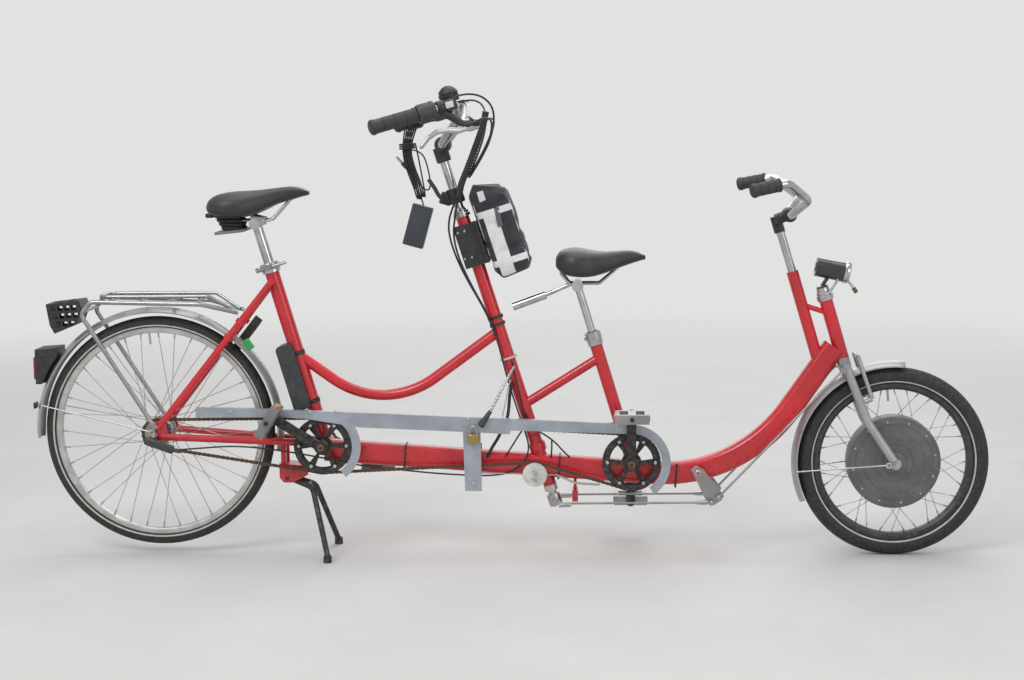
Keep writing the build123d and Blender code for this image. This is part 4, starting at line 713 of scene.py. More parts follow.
def along_chain(path, d):
    # the place at a distance d along the loop
    for kind, length, data in path:
        if d <= length:
            t = d / length
            if kind == "run":
                a, b = data
                return Vector((a[0] + (b[0] - a[0]) * t, CHAIN_Y, a[1] + (b[1] - a[1]) * t))
            centre, r, start, turn = data
            angle = start + turn * t
            return Vector((centre.x + r * cos(angle), CHAIN_Y, centre.z + r * sin(angle)))
        d -= length
    return along_chain(path, d)


def link_plate(y, thickness):
    # a figure-of-eight plate between two pins one pitch apart, lying in XZ
    outline = []
    for end in (1, -1):
        for k in range(-2, 3):
            angle = radians(k * 38) + (0 if end > 0 else pi)
            outline.append((end * CHAIN_PITCH / 2 + LINK_H / 2 * cos(angle), LINK_H / 2 * sin(angle)))
        outline.append((0, end * LINK_H * 0.36))
    return flat_plate("link", outline, y, y + thickness)


def flat_plate(name, outline, y0, y1):
    # an outline in the XZ plane, extruded sideways
    deselect()
    bpy.ops.mesh.primitive_circle_add(vertices=len(outline), radius=1, fill_type="NGON", location=(0, 0, 0))
    piece = bpy.context.object
    piece.name = name
    for vertex, (x, z) in zip(piece.data.vertices, outline):
        vertex.co = (x, y0, z)
    bpy.ops.object.mode_set(mode="EDIT")
    bpy.ops.mesh.select_all(action="SELECT")
    bpy.ops.mesh.extrude_region_move(TRANSFORM_OT_translate={"value": (0, y1 - y0, 0)})
    bpy.ops.mesh.select_all(action="SELECT")
    bpy.ops.mesh.normals_make_consistent(inside=False)
    bpy.ops.object.mode_set(mode="OBJECT")
    return piece


path = chain_path()
chain_length = sum(length for kind, length, data in path)
link_count = 2 * round(chain_length / CHAIN_PITCH / 2)
wide = [link_plate(-0.0040, LINK_T), link_plate(0.0028, LINK_T)]
narrow = [link_plate(-0.0028, LINK_T), link_plate(0.0016, LINK_T)]
PIN_HALF_L = 0.0048
ROLLER_HALF_L = 0.0020
for x in (-CHAIN_PITCH / 2, CHAIN_PITCH / 2):
    narrow.append(rod("roller", (x, -ROLLER_HALF_L, 0), (x, ROLLER_HALF_L, 0), 0.0036, 8))
    wide.append(rod("pin", (x, -PIN_HALF_L, 0), (x, PIN_HALF_L, 0), 0.0018, 6))
link_kinds = [joined("wide_link", wide), joined("narrow_link", narrow)]
links = []
for k in range(link_count):
    a = along_chain(path, chain_length * k / link_count)
    b = along_chain(path, chain_length * ((k + 1) % link_count) / link_count)
    twin = link_kinds[k % 2].copy()
    twin.data = link_kinds[k % 2].data.copy()
    bpy.context.collection.objects.link(twin)
    swing = atan2(b.z - a.z, b.x - a.x)
    twin.data.transform(Matrix.Translation((a + b) / 2) @ Matrix.Rotation(-swing, 4, "Y"))
    links.append(twin)
for kind in link_kinds:
    bpy.data.objects.remove(kind)
fit(joined("chain_links", links), chain_rust, "frame", "rusty_steel", "chain")

# Chain guard: a long pressed plate in silver blue with a turned-in top edge and
# a crescent round each ring, on a grey hanger plate with a small padlock.
guard_blue = surface("guard_blue", (0.37, 0.41, 0.465), 0.34, metal=0.30, coat=0.3, dust=0.20, scratches=0.5)
dress(guard_blue, "chain_guard")
brass = surface("brass", (0.46, 0.32, 0.10), 0.35, metal=0.9, dust=0.3)
SHARP = 35
PADLOCK_Y = -0.074
GUARD_FACE_Y = -0.0658
# x ahead of the rear axle and height of each screw in the guard and its hanger
GUARD_SCREWS = [(0.826, 0.372), (0.410, 0.392), (1.2165, 0.356), (0.839, 0.200), (0.200, 0.392)]


def rounded(piece, width):
    # sharp edges are rounded over
    made = piece.modifiers.new("edges", "BEVEL")
    made.width = width
    made.segments = 3
    made.limit_method = "ANGLE"
    made.angle_limit = radians(SHARP)
    made.use_clamp_overlap = True
    select_only(piece)
    bpy.ops.object.modifier_apply(modifier=made.name)
    return smooth(piece, SHARP)


def block(name, centre, size, turn=0.0, bevel=0.002, yaw=0.0):
    # a cast or moulded block turned in the side view, its edges rounded
    deselect()
    bpy.ops.mesh.primitive_cube_add(size=1, location=centre, rotation=(0, radians(-turn), radians(yaw)),
                                    scale=size)
    piece = bpy.context.object
    piece.name = name
    bpy.ops.object.transform_apply(location=True, rotation=True, scale=True)
    return rounded(piece, bevel)


def cable_line(name, points, radius, sides=3):
    # a round cable as one smooth curve whose control points are given
    deselect()
    line = bpy.data.curves.new(name, "CURVE")
    line.dimensions = "3D"
    spline = line.splines.new("NURBS")
    spline.points.add(len(points) - 1)
    for control, point in zip(spline.points, points):
        control.co = (*point, 1)
    spline.order_u = 3
    spline.use_endpoint_u = True
    spline.resolution_u = 8
    line.bevel_depth = radius
    line.bevel_resolution = sides
    line.use_fill_caps = True
    piece = bpy.data.objects.new(name, line)
    bpy.context.collection.objects.link(piece)
    return piece


def thread(name, points, radius, sides=3):
    # the same cable as a mesh
    select_only(cable_line(name, points, radius, sides))
    bpy.ops.object.convert(target="MESH")
    return smooth(bpy.context.object, 60)


padlock = block("padlock_body", at(0.840, 0.322, PADLOCK_Y), (0.028, 0.013, 0.024), bevel=0.003)
fit(padlock, brass, "frame", "steel")
SHACKLE = [(0.831, 0.332), (0.831, 0.350), (0.840, 0.356), (0.849, 0.350), (0.849, 0.332)]
shackle = thread("padlock_shackle", [at(x, z, PADLOCK_Y) for x, z in SHACKLE], 0.0022)
fit(shackle, screw_steel, "frame", "steel")
guard_screws = [screw("screw", at(x, z, GUARD_FACE_Y), (0, -1, 0), 0.0048, 0.0026) for x, z in GUARD_SCREWS]
fit(joined("guard_screws", guard_screws), screw_steel, "frame", "steel")

# Pedals: grey plastic blocks behind and alloy ones in front, turning on
# the crank's pins, with an amber reflector in each long side.
grey_pedal = surface("grey_pedal", (0.20, 0.205, 0.21), 0.55, dust=0.45, grain=300, grain_depth=0.3)
alloy_pedal = surface("alloy_pedal", (0.34, 0.34, 0.34), 0.36, metal=0.9, dust=0.35, scratches=0.5)
amber = surface("amber", (0.62, 0.20, 0.015), 0.25, coat=0.4, dust=0.25, grain=900)
dress(grey_pedal, "rear_right_pedal", "rear_left_pedal")
dress(alloy_pedal, "front_right_pedal", "front_left_pedal")
PEDAL_HALF_W = 0.044
# node, tilt of the tread
PEDALS = [("rear_right_pedal", -58.0), ("rear_left_pedal", 0.0), ("front_right_pedal", 0.0),
          ("front_left_pedal", 0.0)]
for node, tilt in PEDALS:
    middle = centre_of(node)
    reflectors = []
    a = radians(tilt)
    for end in (-1, 1):
        out = Vector((cos(a), 0, -sin(a))) * end * (PEDAL_HALF_W + 0.0008)
        reflectors.append(block("reflector", middle + out, (0.003, 0.052, 0.013), turn=-tilt, bevel=0.0012))
    fit(joined(node + "_reflectors", reflectors), amber, node, "red_lens")

# Saddles: a foam pad under a black cover, wide behind with a long nose and with
# piping round its lower edge. The rear one rides on two rubber springs.
saddle_black = surface("saddle_black", (0.028, 0.029, 0.031), 0.44, dust=0.10, patch=20, grain=1500,
                       grain_depth=0.35)
seam_black = surface("seam_black", (0.012, 0.012, 0.012), 0.7, dust=0.2)
bellows_rubber = surface("bellows_rubber", (0.014, 0.014, 0.014), 0.6, dust=0.35)
chrome = surface("chrome", (0.50, 0.50, 0.51), 0.15, metal=1.0, dust=0.14, patch=30, grain_depth=0.03)
bright_alloy = surface("bright_alloy", (0.44, 0.44, 0.445), 0.27, metal=0.95, dust=0.18)
black_plastic = surface("black_plastic", (0.021, 0.021, 0.023), 0.50, dust=0.30, grain=500, grain_depth=0.25)
# x ahead of the rear axle, half width, top, underside
REAR_SADDLE = [(0.149, 0.050, 0.936, 0.918), (0.158, 0.072, 0.951, 0.911), (0.180, 0.089, 0.962, 0.905),
               (0.215, 0.095, 0.967, 0.902), (0.255, 0.084, 0.969, 0.903), (0.292, 0.060, 0.972, 0.916),
               (0.330, 0.041, 0.977, 0.934), (0.368, 0.030, 0.980, 0.945), (0.395, 0.024, 0.975, 0.953),
               (0.411, 0.013, 0.966, 0.957)]
FRONT_SADDLE = [(1.057, 0.042, 0.790, 0.766), (1.066, 0.061, 0.803, 0.756), (1.084, 0.076, 0.812, 0.746),
                (1.112, 0.084, 0.814, 0.741), (1.146, 0.076, 0.808, 0.741), (1.180, 0.055, 0.804, 0.748),
                (1.215, 0.037, 0.806, 0.760), (1.250, 0.027, 0.807, 0.772), (1.276, 0.021, 0.800, 0.780),
                (1.290, 0.011, 0.790, 0.783)]
PIPING_STEPS = 20
PIPING_UP = 0.0115
PIPING_R = 0.0011


def between(table, u):
    # a smooth curve through the table's rows, at u from 0 to 1
    t = u * (len(table) - 1)
    k = min(int(t), len(table) - 2)
    f = t - k
    rows = [table[max(0, min(len(table) - 1, k + d))] for d in (-1, 0, 1, 2)]
    out = []
    for p, q, r, s in zip(*rows):
        square, cube = 2 * p - 5 * q + 4 * r - s, 3 * q - p - 3 * r + s
        out.append(0.5 * (2 * q + (r - p) * f + square * f * f + cube * f ** 3))
    return out


def saddle_shape(table):
    def shape(u, v):
        x, half, top, low = between(table, u)
        a = 2 * pi * v
        across, rise = cos(a), sin(a)
        y = half * (abs(across) ** 0.62) * (1 if across > 0 else -1)
        if rise > 0:
            # the crown falls off towards the edges and dips a little in the middle
            dip = 0.0035 * max(0, 1 - abs(y) / 0.018) * max(0, 1 - abs(u - 0.45) * 2)
            z = low + 0.010 + (top - low - 0.010) * rise ** 0.55 - dip
        else:
            z = low + 0.010 - 0.010 * abs(rise) ** 0.5
            y *= 1 - 0.10 * abs(rise)
        return at(x, z, y)

    return shape


for name, node, table in (("rear_seat", "rear_saddle", REAR_SADDLE),
                          ("front_seat", "front_saddle", FRONT_SADDLE)):
    cover = skin(name + "_cover", 44, 40, saddle_shape(table), 60)
    fit(cover, saddle_black, "frame", "saddle_cover", node)
    for side in (-1, 1):
        edge = []
        for k in range(PIPING_STEPS + 1):
            x, half, top, low = between(table, 0.04 + 0.92 * k / PIPING_STEPS)
            edge.append(at(x, low + PIPING_UP, side * (half * 1.003)))
        piping = thread(name + ("_left" if side > 0 else "_right") + "_piping", edge, PIPING_R, 2)
        fit(piping, seam_black, "frame", "saddle_cover")

SPRING_AT = (0.200, 0.036)
SPRING_TOP = 0.908
SPRING_LOW = 0.868
SPRING_L = 0.064
SPRING_W = 0.046


def spring_shape(side):
    # four soft ribs down a stub that narrows and leans forward
    def shape(u, v):
        a = 2 * pi * v
        k = 1 - 0.30 * u
        out = 0.004 * abs(sin(pi * 4 * u)) ** 0.7
        x = SPRING_AT[0] + 0.014 * u + (SPRING_L * k / 2 + out) * cos(a)
        y = side * SPRING_AT[1] + (SPRING_W * k / 2 + out) * sin(a)
        return at(x, SPRING_TOP + (SPRING_LOW - SPRING_TOP) * u, y)

    return shape


springs = [skin("spring", 28, 28, spring_shape(side), 60) for side in (-1, 1)]
fit(joined("seat_springs", springs), bellows_rubber, "frame", "grip_rubber")
spring_base = block("spring_base", at(0.208, 0.864, 0), (0.078, 0.116, 0.008), turn=6, bevel=0.003)
fit(spring_base, grey_pedal, "frame", "grey_plastic")
rail_clamp = [block("plate", at(0.277, 0.893, side * 0.022), (0.038, 0.006, 0.022), turn=-14, bevel=0.0025)
              for side in (-1, 1)]
rail_clamp.append(rod("cross_bolt", at(0.279, 0.893, -0.032), at(0.279, 0.893, 0.032), 0.0062, 12))
fit(joined("rail_clamp", rail_clamp), bright_alloy, "frame", "alloy")
tail_stub = block("tail_stub", at(0.150, 0.905), (0.022, 0.040, 0.012), bevel=0.004)
fit(tail_stub, black_plastic, "frame", "black_plastic")
dress(chrome, "rear_seat_post", "front_seat_post")

# Seat clamps: a bright quick-release collar under the rear post and a pinched
# alloy one under the front post, each with its lever or bolt.
SEAT_TOP = at(0.305, 0.766)
LEVER_ROOT = SEAT_TOP + Vector((0.010, -0.030, 0.006))
LEVER_END = SEAT_TOP + Vector((0.046, -0.026, 0.017))
collar_rings = [
    turned("collar", [(-0.006, 0.0192), (-0.006, 0.0252), (-0.003, 0.0262), (0.010, 0.0262), (0.013, 0.0250),
                      (0.013, 0.0192)], SEAT_TOP, SEAT_TUBE_DIR, 40),
    block("ear", SEAT_TOP + Vector((-0.030, 0, -0.006)), (0.018, 0.020, 0.013), turn=17, bevel=0.003),
    rod("lever", LEVER_ROOT, LEVER_END, 0.0055, 12, 0.004),
    rod("lever_pin", SEAT_TOP + Vector((-0.030, -0.014, -0.006)), LEVER_ROOT, 0.0045, 12),
    rod("cross_pin", SEAT_TOP + Vector((-0.032, 0.014, -0.006)), SEAT_TOP + Vector((-0.032, -0.016, -0.006)),
        0.005, 12),
]
fit(joined("rear_seat_clamp", collar_rings), bright_alloy, "frame", "alloy")
FRONT_SEAT_TOP = at(1.155, 0.577)
front_clamp = [
    turned("collar", [(-0.004, 0.0167), (-0.004, 0.0212), (0.016, 0.0212), (0.018, 0.0195), (0.018, 0.0167)],
           FRONT_SEAT_TOP, FRONT_SEAT_DIR, 40),
    screw("bolt", FRONT_SEAT_TOP + Vector((-0.022, -0.006, -0.002)), (-0.2, -1, 0), 0.0042, 0.005),
]
fit(joined("front_seat_clamp", front_clamp), bright_alloy, "frame", "alloy")

# Rider's bar: a swept alloy bar in a black stem head on a chrome quill, which
# turns in the red column's nut and carries a black quick-release clamp.
dress(bright_alloy, "rear_bar")
dress(screw_steel, "steering_shaft")
COLUMN_TOP = at(0.813, 0.897)


def up_column(d):
    return COLUMN_TOP + COLUMN_DIR * d


QUILL_SECTION = [(0.020, 0.0108), (0.020, 0.0122), (0.190, 0.0122), (0.190, 0.0108)]
quill = turned("column_quill", QUILL_SECTION, COLUMN_TOP, COLUMN_DIR, 48)
fit(quill, chrome, "handlebar", "chrome")
NUT_SECTION = [(0.001, 0.0185), (0.001, 0.0225), (0.008, 0.0225), (0.010, 0.0205), (0.0135, 0.0205),
               (0.016, 0.0180), (0.024, 0.0150), (0.024, 0.0118), (0.001, 0.0118)]
nut = turned("column_nut", NUT_SECTION, COLUMN_TOP, COLUMN_DIR, 40)
fit(nut, bright_alloy, "handlebar", "alloy")
CLAMP_AT = 0.058
CLAMP_SIDE = Vector((COLUMN_DIR.z, 0, -COLUMN_DIR.x))


def by_clamp(up, back, y):
    # a place up the column from the clamp, behind it and to one side
    return up_column(CLAMP_AT + up) - CLAMP_SIDE * back + Vector((0, y, 0))


quick_clamp = [
    turned("clamp", [(-0.020, 0.0123), (-0.020, 0.0190), (-0.017, 0.0215), (0.017, 0.0215), (0.020, 0.0190),
                     (0.020, 0.0123)], up_column(CLAMP_AT), COLUMN_DIR, 40),
    block("ears", by_clamp(0, 0.026, 0), (0.030, 0.022, 0.032), turn=-17, bevel=0.004),
    rod("bolt", by_clamp(0, 0.032, -0.020), by_clamp(0, 0.032, 0.018), 0.007, 14),
    thread("lever", [by_clamp(0, 0.032, -0.020), by_clamp(0.014, 0.040, -0.027),
                     by_clamp(0.036, 0.043, -0.022), by_clamp(0.062, 0.052, -0.020)], 0.0055, 4),
]
fit(joined("quick_clamp", quick_clamp), black_plastic, "handlebar", "black_plastic")
STEM_SECTION = [(-0.040, 0.0113), (-0.040, 0.0165), (-0.034, 0.0205), (-0.020, 0.0215), (0.020, 0.0215),
                (0.034, 0.0205), (0.040, 0.0165), (0.040, 0.0113)]
stem_head = [
    turned("stem_head", STEM_SECTION, at(0.765, 1.085), (0, 1, 0), 40),
    turned("stem_neck", [(0.150, 0.0123), (0.150, 0.0180), (0.156, 0.0195), (0.190, 0.0195), (0.190, 0.0123)],
           COLUMN_TOP, COLUMN_DIR, 32),
]
fit(joined("stem_head", stem_head), black_plastic, "handlebar", "black_plastic")

# Grips: dark moulded rubber sleeves with ring grooves, and a fatter ribbed
# twist shifter inboard of each on the rider's bar.
grip_rubber = surface("grip_rubber", (0.034, 0.036, 0.039), 0.58, dust=0.16, grain=900, grain_depth=0.4)
shifter_grey = surface("shifter_grey", (0.045, 0.047, 0.051), 0.48, dust=0.16, grain=700)
# each bar's open end and first bend: x ahead of the rear axle, side distance, height
REAR_TIP = (0.612, 0.300, 1.132)
REAR_BEND = (0.812, 0.200, 1.190)
FRONT_TIP = (1.548, 0.228, 0.968)
FRONT_BEND = (1.640, 0.196, 0.986)
BAR_R = 0.0112
GROOVES = 3
REAR_GRIP_L = 0.122
REAR_GRIP_R = 0.0180
FRONT_GRIP_L = 0.076
FRONT_GRIP_R = 0.0165
SHIFTER_SECTION = [(0.1245, BAR_R), (0.1245, 0.0190), (0.1275, 0.0215), (0.1330, 0.0228), (0.1520, 0.0232),
                   (0.1560, 0.0222), (0.1590, 0.0222), (0.1610, 0.0236), (0.1700, 0.0236), (0.1720, 0.0215),
                   (0.1720, BAR_R)]
# the shifter's ribs: from and to this distance along the bar, and their depth
SHIFTER_RIBS = (0.129, 0.155)
RIB_DEPTH = 0.0010


def grip_section(length, r):
    # rounded end, the sleeve with its grooves, a collar and the bore
    section = [(-0.003, 0.0), (-0.003, r * 0.55), (-0.0022, r * 0.80), (0.0005, r * 1.02), (0.005, r * 1.10),
               (0.009, r * 1.08), (0.013, r)]
    for k in range(1, GROOVES + 1):
        d = length * k / (GROOVES + 1)
        section += [(d - 0.0022, r), (d - 0.0012, r - 0.0014), (d + 0.0012, r - 0.0014), (d + 0.0022, r)]
    section += [(length - 0.006, r), (length - 0.005, r + 0.0012), (length - 0.001, r + 0.0012), (length, r)]
    return section + [(length, BAR_R), (0.0, BAR_R), (0.0, 0.0)]


def bar_end(tip_at, bend_at, side):
    # a bar's open end, and the way along it from there to its first bend
    tip = at(tip_at[0], tip_at[2], side * tip_at[1])
    return tip, (at(bend_at[0], bend_at[2], side * bend_at[1]) - tip).normalized()


rear_sleeves, shifters, front_sleeves = [], [], []
for side in (-1, 1):
    tip, way = bar_end(REAR_TIP, REAR_BEND, side)
    section = grip_section(REAR_GRIP_L, REAR_GRIP_R)
    rear_sleeves.append(turned("sleeve", section, tip, way, 40, 30))
    shifter = turned("shifter", SHIFTER_SECTION, tip, way, 48, 30)
    for k, vertex in enumerate(shifter.data.vertices):
        rel = vertex.co - tip
        d = rel.dot(way)
        if SHIFTER_RIBS[0] < d < SHIFTER_RIBS[1] and k % 2:
            out = (rel - way * d).normalized()
            vertex.co -= out * RIB_DEPTH
    shifters.append(shifter)
    tip, way = bar_end(FRONT_TIP, FRONT_BEND, side)
    section = grip_section(FRONT_GRIP_L, FRONT_GRIP_R)
    front_sleeves.append(turned("sleeve", section, tip, way, 40, 30))
fit(joined("rear_grip_sleeves", rear_sleeves), grip_rubber, "handlebar", "grip_rubber", "rear_grips")
fit(joined("twist_shifters", shifters), shifter_grey, "handlebar", "grip_rubber")
fit(joined("front_grip_sleeves", front_sleeves), grip_rubber, "frame", "grip_rubber", "front_grips")

# Brake levers: cast alloy blades on black clamp bodies, with a black gear housing
# and its pale window inboard of each, and a black domed bell on the right.
lever_alloy = surface("lever_alloy", (0.46, 0.46, 0.46), 0.30, metal=0.9, dust=0.15, scratches=0.4)


def lever_blade(name, run, width, thick):
    # a flat curved blade that narrows to a ball end
    def shape(u, v):
        t = u * (len(run) - 1)
        k = min(int(t), len(run) - 2)
        here = run[k].lerp(run[k + 1], t - k)
        way = (run[min(k + 1, len(run) - 1)] - run[max(k - 1, 0)]).normalized()
        flat = way.cross(Vector((0, 1, 0))).normalized()
        other = way.cross(flat)
        a = 2 * pi * v
        w = width * (1 - 0.45 * u) if u < 0.93 else width * 0.62
        close = 1.0 if u < 0.97 else 0.4
        return here + (flat * w * cos(a) + other * thick * sin(a)) * close

    return skin(name, 30, 14, shape, 60)


LEVER_AT = 0.190
BAND_SECTION = [(-0.009, BAR_R), (-0.009, 0.0170), (-0.006, 0.0180), (0.006, 0.0180), (0.009, 0.0170),
                (0.009, BAR_R)]
LEVER_PIVOT = (0.838, 1.136, 0.216)
# x, height and side distance along the blade, after its pivot
LEVER_RUN = [(0.822, 1.124, 0.224), (0.796, 1.125, 0.236), (0.770, 1.121, 0.247), (0.748, 1.105, 0.255),
             (0.729, 1.080, 0.262)]
blades, bodies = [], []
for side in (-1, 1):
    tip, way = bar_end(REAR_TIP, REAR_BEND, side)
    seat = tip + way * LEVER_AT
    bodies.append(turned("band", BAND_SECTION, seat, way, 32))
    pivot = at(*LEVER_PIVOT[:2], side * LEVER_PIVOT[2])
    bodies.append(rod("perch", seat + Vector((0.006, 0, -0.010)), pivot, 0.0105, 14, 0.0085))
    bodies.append(rod("reach", pivot, pivot + Vector((0.018, side * -0.004, 0.006)), 0.0075, 14, 0.0060))
    run = [pivot + Vector((0.004, 0, -0.004))] + [at(x, z, side * y) for x, z, y in LEVER_RUN]
    blades.append(lever_blade("blade", run, 0.0092, 0.0036))
    blades.append(rod("adjuster", at(0.832, 1.147, side * 0.214), at(0.848, 1.149, side * 0.212), 0.0046, 12,
                      0.0040))
fit(joined("lever_blades", blades), lever_alloy, "handlebar", "alloy", "bar_fittings")
fit(joined("lever_bodies", bodies), black_plastic, "handlebar", "black_plastic")
BELL_SECTION = [(-0.016, 0.0), (-0.016, 0.0115), (0.012, 0.0130), (0.014, 0.0255), (0.0195, 0.0258),
                (0.0205, 0.0235), (0.0225, 0.0235), (0.0235, 0.0260), (0.029, 0.0260), (0.030, 0.0238),
                (0.032, 0.0238), (0.033, 0.0255), (0.039, 0.0235), (0.047, 0.0160), (0.052, 0.0070),
                (0.052, 0.0)]
bell = turned("bell_dome", BELL_SECTION, at(0.797, 1.183, -0.160), (-0.15, 0, 1), 40, 30)
fit(bell, black_plastic, "handlebar", "black_plastic")
housing_black = surface("bracket_grey", (0.030, 0.031, 0.033), 0.45, dust=0.2)
window_white = surface("window_white", (0.80, 0.80, 0.78), 0.35, dust=0.08)
HOUSING_AT = 0.206
HOUSING_SIZE = (0.028, 0.028, 0.026)
WINDOW_SIZE = (0.021, 0.0030, 0.016)
BAR_RISE = 14.5
gear_housings, gear_windows = [], []
for side in (-1, 1):
    tip, way = bar_end(REAR_TIP, REAR_BEND, side)
    middle = tip + way * HOUSING_AT + Vector((0.010, 0, 0.0030))
    face = middle + Vector((0, side * 0.0142, 0.001))
    yaw = degrees(atan2(way.y, way.x))
    gear_housings.append(block("housing", middle, HOUSING_SIZE, turn=BAR_RISE, bevel=0.003, yaw=yaw))
    gear_windows.append(block("window", face, WINDOW_SIZE, turn=BAR_RISE, bevel=0.0008, yaw=yaw))
fit(joined("gear_brackets", gear_housings), housing_black, "handlebar", "grey_plastic")
fit(joined("gear_windows", gear_windows), window_white, "handlebar", "white_nylon")

# Child's bar: bent chromed tube clamped in a black stem, whose plain chrome quill
# stands in the red bar tube.
dress(chrome, "front_bar")
FRONT_STEM = at(1.662, 0.897)
CHILD_CLAMP_SECTION = [(-0.030, 0.0113), (-0.030, 0.0150), (-0.025, 0.0185), (0.025, 0.0185), (0.030, 0.0150),
                       (0.030, 0.0113)]
child_stem = [
    turned("stem_clamp", CHILD_CLAMP_SECTION, FRONT_STEM, (0, 1, 0), 36),
    rod("stem_arm", at(1.628, 0.884), FRONT_STEM, 0.0150, 24, 0.0140),
    rod("stem_foot", at(1.6385, 0.852), at(1.627, 0.893), 0.0145, 24, 0.0150),
    screw("stem_bolt", at(1.630, 0.872, -0.0140), (0, -1, 0), 0.005, 0.004),
]
fit(joined("child_stem", child_stem), black_plastic, "frame", "black_plastic")

# Headlamp: a black bullet with a chrome ring and clear front on a bright strip
# that is bolted to the steerer under its nut.
HEAD_DIR = (at(1.759, 0.674) - at(1.803, 0.524)).normalized()
LAMP_REAR = at(1.732, 0.762)
LAMP_WAY = (at(1.818, 0.744) - LAMP_REAR).normalized()
lamp_gloss = surface("lamp_gloss", (0.024, 0.024, 0.026), 0.22, coat=0.5, dust=0.15)
dress(lamp_gloss, "headlamp")
SHELL_SECTION = [(-0.002, 0.0), (-0.002, 0.0120), (0.004, 0.0190), (0.014, 0.0228), (0.040, 0.0252),
                 (0.076, 0.0262), (0.076, 0.0)]
shell = turned("headlamp_shell", SHELL_SECTION, LAMP_REAR, LAMP_WAY, 48, 30)
fit(shell, lamp_gloss, "fork", "black_plastic")
RING_SECTION = [(0.074, 0.0240), (0.074, 0.0276), (0.078, 0.0286), (0.086, 0.0284), (0.089, 0.0262),
                (0.086, 0.0240)]
ring = turned("headlamp_ring", RING_SECTION, LAMP_REAR, LAMP_WAY, 48, 40)
fit(ring, chrome, "fork", "chrome")
lens_finish, lens_shader, lens_place = new_finish("lamp_glass")
lens_lines = (lens_place.node("SeparateXYZ", {}, {"Vector": lens_place}, "Y") * 1500.0).sine()
link(lens_shader, "Base Color", lens_lines.ramp(-1, 1).mix((0.62, 0.66, 0.68, 1), (0.80, 0.83, 0.84, 1)))
lens_shader.inputs["Roughness"].default_value = 0.08
lens_shader.inputs["Coat Weight"].default_value = 0.8
link(lens_shader, "Normal", bump(lens_lines, 0.4, 0.0006))
GLASS_SECTION = [(0.083, 0.0), (0.083, 0.0242), (0.0862, 0.0242), (0.0895, 0.0150), (0.0910, 0.0)]
glass = turned("headlamp_glass", GLASS_SECTION, LAMP_REAR, LAMP_WAY, 40, 40)
fit(glass, lens_finish, "fork", "chrome")
STEERER_TOP = at(1.759, 0.674) + HEAD_DIR * 0.034
HEADSET_SECTION = [(-0.033, 0.0112), (-0.033, 0.0215), (-0.028, 0.0222), (-0.020, 0.0222), (-0.018, 0.0195),
                   (-0.012, 0.0195), (-0.010, 0.0172), (0.000, 0.0160), (0.004, 0.0110), (0.004, 0.0),
                   (-0.006, 0.0), (-0.006, 0.0112)]
steer_nuts = turned("headset_nuts", HEADSET_SECTION, STEERER_TOP, HEAD_DIR, 36, 25)
fit(steer_nuts, bright_alloy, "fork", "chrome")
lamp_strip = thread("lamp_strip", [STEERER_TOP + Vector((0.010, -0.012, -0.020)), at(1.782, 0.716, -0.014),
                                   at(1.790, 0.735, -0.014), at(1.796, 0.742, -0.0145)], 0.0035, 3)
fit(lamp_strip, bright_alloy, "fork", "alloy")

# Fork and rim brake: satin light grey blades, with the brake's cast arms and
# rubber pads in front of the crown.
fork_grey = surface("fork_grey", (0.42, 0.43, 0.45), 0.34, metal=0.35, coat=0.2, dust=0.3, scratches=0.4)
dress(fork_grey, "fork")
dress(bright_alloy, "front_brake")

# Tail: a black lattice bracket behind the rack, and a black lamp with a red
# lens on the mudguard. The rack is bent from bright tube.
dress(black_plastic, "tail_bracket", "tail_lamp")
rack_silver = surface("rack_silver", (0.36, 0.36, 0.365), 0.30, metal=0.95, dust=0.22, scratches=0.3)
dress(rack_silver, "rack")
lens_red = surface("lens_red", (0.30, 0.006, 0.008), 0.16, coat=0.7, dust=0.12, grain=260, grain_depth=0.6)
dress(lens_red, "tail_lens")

# Ring lock: a black moulded housing with a green key fob, and the controller in
# its dark box strapped to the seat tube.
dress(black_plastic, "ring_lock")
rubber_black = surface("rubber_black", (0.018, 0.018, 0.018), 0.7, dust=0.4)
slate = surface("slate", (0.040, 0.043, 0.048), 0.42, dust=0.22, grain=600)
dress(slate, "controller_box")
fob_green = surface("fob_green", (0.02, 0.33, 0.07), 0.4, coat=0.3, dust=0.1)
fob = block("key_fob", at(0.252, 0.570, -0.058), (0.020, 0.006, 0.030), turn=35, bevel=0.003)
fit(fob, fob_green, "frame", "black_plastic")
STRAP_SECTION = [(-0.006, 0.0192), (-0.006, 0.0207), (0.006, 0.0207), (0.006, 0.0192)]
# x and height of the seat tube's top and foot
TUBE_TOP = (0.305, 0.766)
TUBE_FOOT = (0.441, 0.300)
straps = []
for z in (0.540, 0.412):
    x = TUBE_TOP[0] + (TUBE_FOOT[0] - TUBE_TOP[0]) * (TUBE_TOP[1] - z) / (TUBE_TOP[1] - TUBE_FOOT[1])
    straps.append(turned("strap", STRAP_SECTION, at(x, z), SEAT_TUBE_DIR, 36))
fit(joined("controller_straps", straps), rubber_black, "frame", "black_plastic")

# Centre stand and steering rods: a black two-legged stand on its pin, and
# plated rods and rocker plates that carry the steering to the fork.
dress(black_drive, "centre_stand")
rod_steel = surface("rod_steel", (0.36, 0.36, 0.36), 0.36, metal=0.8, dust=0.4, dust_colour=(0.25, 0.2, 0.15))
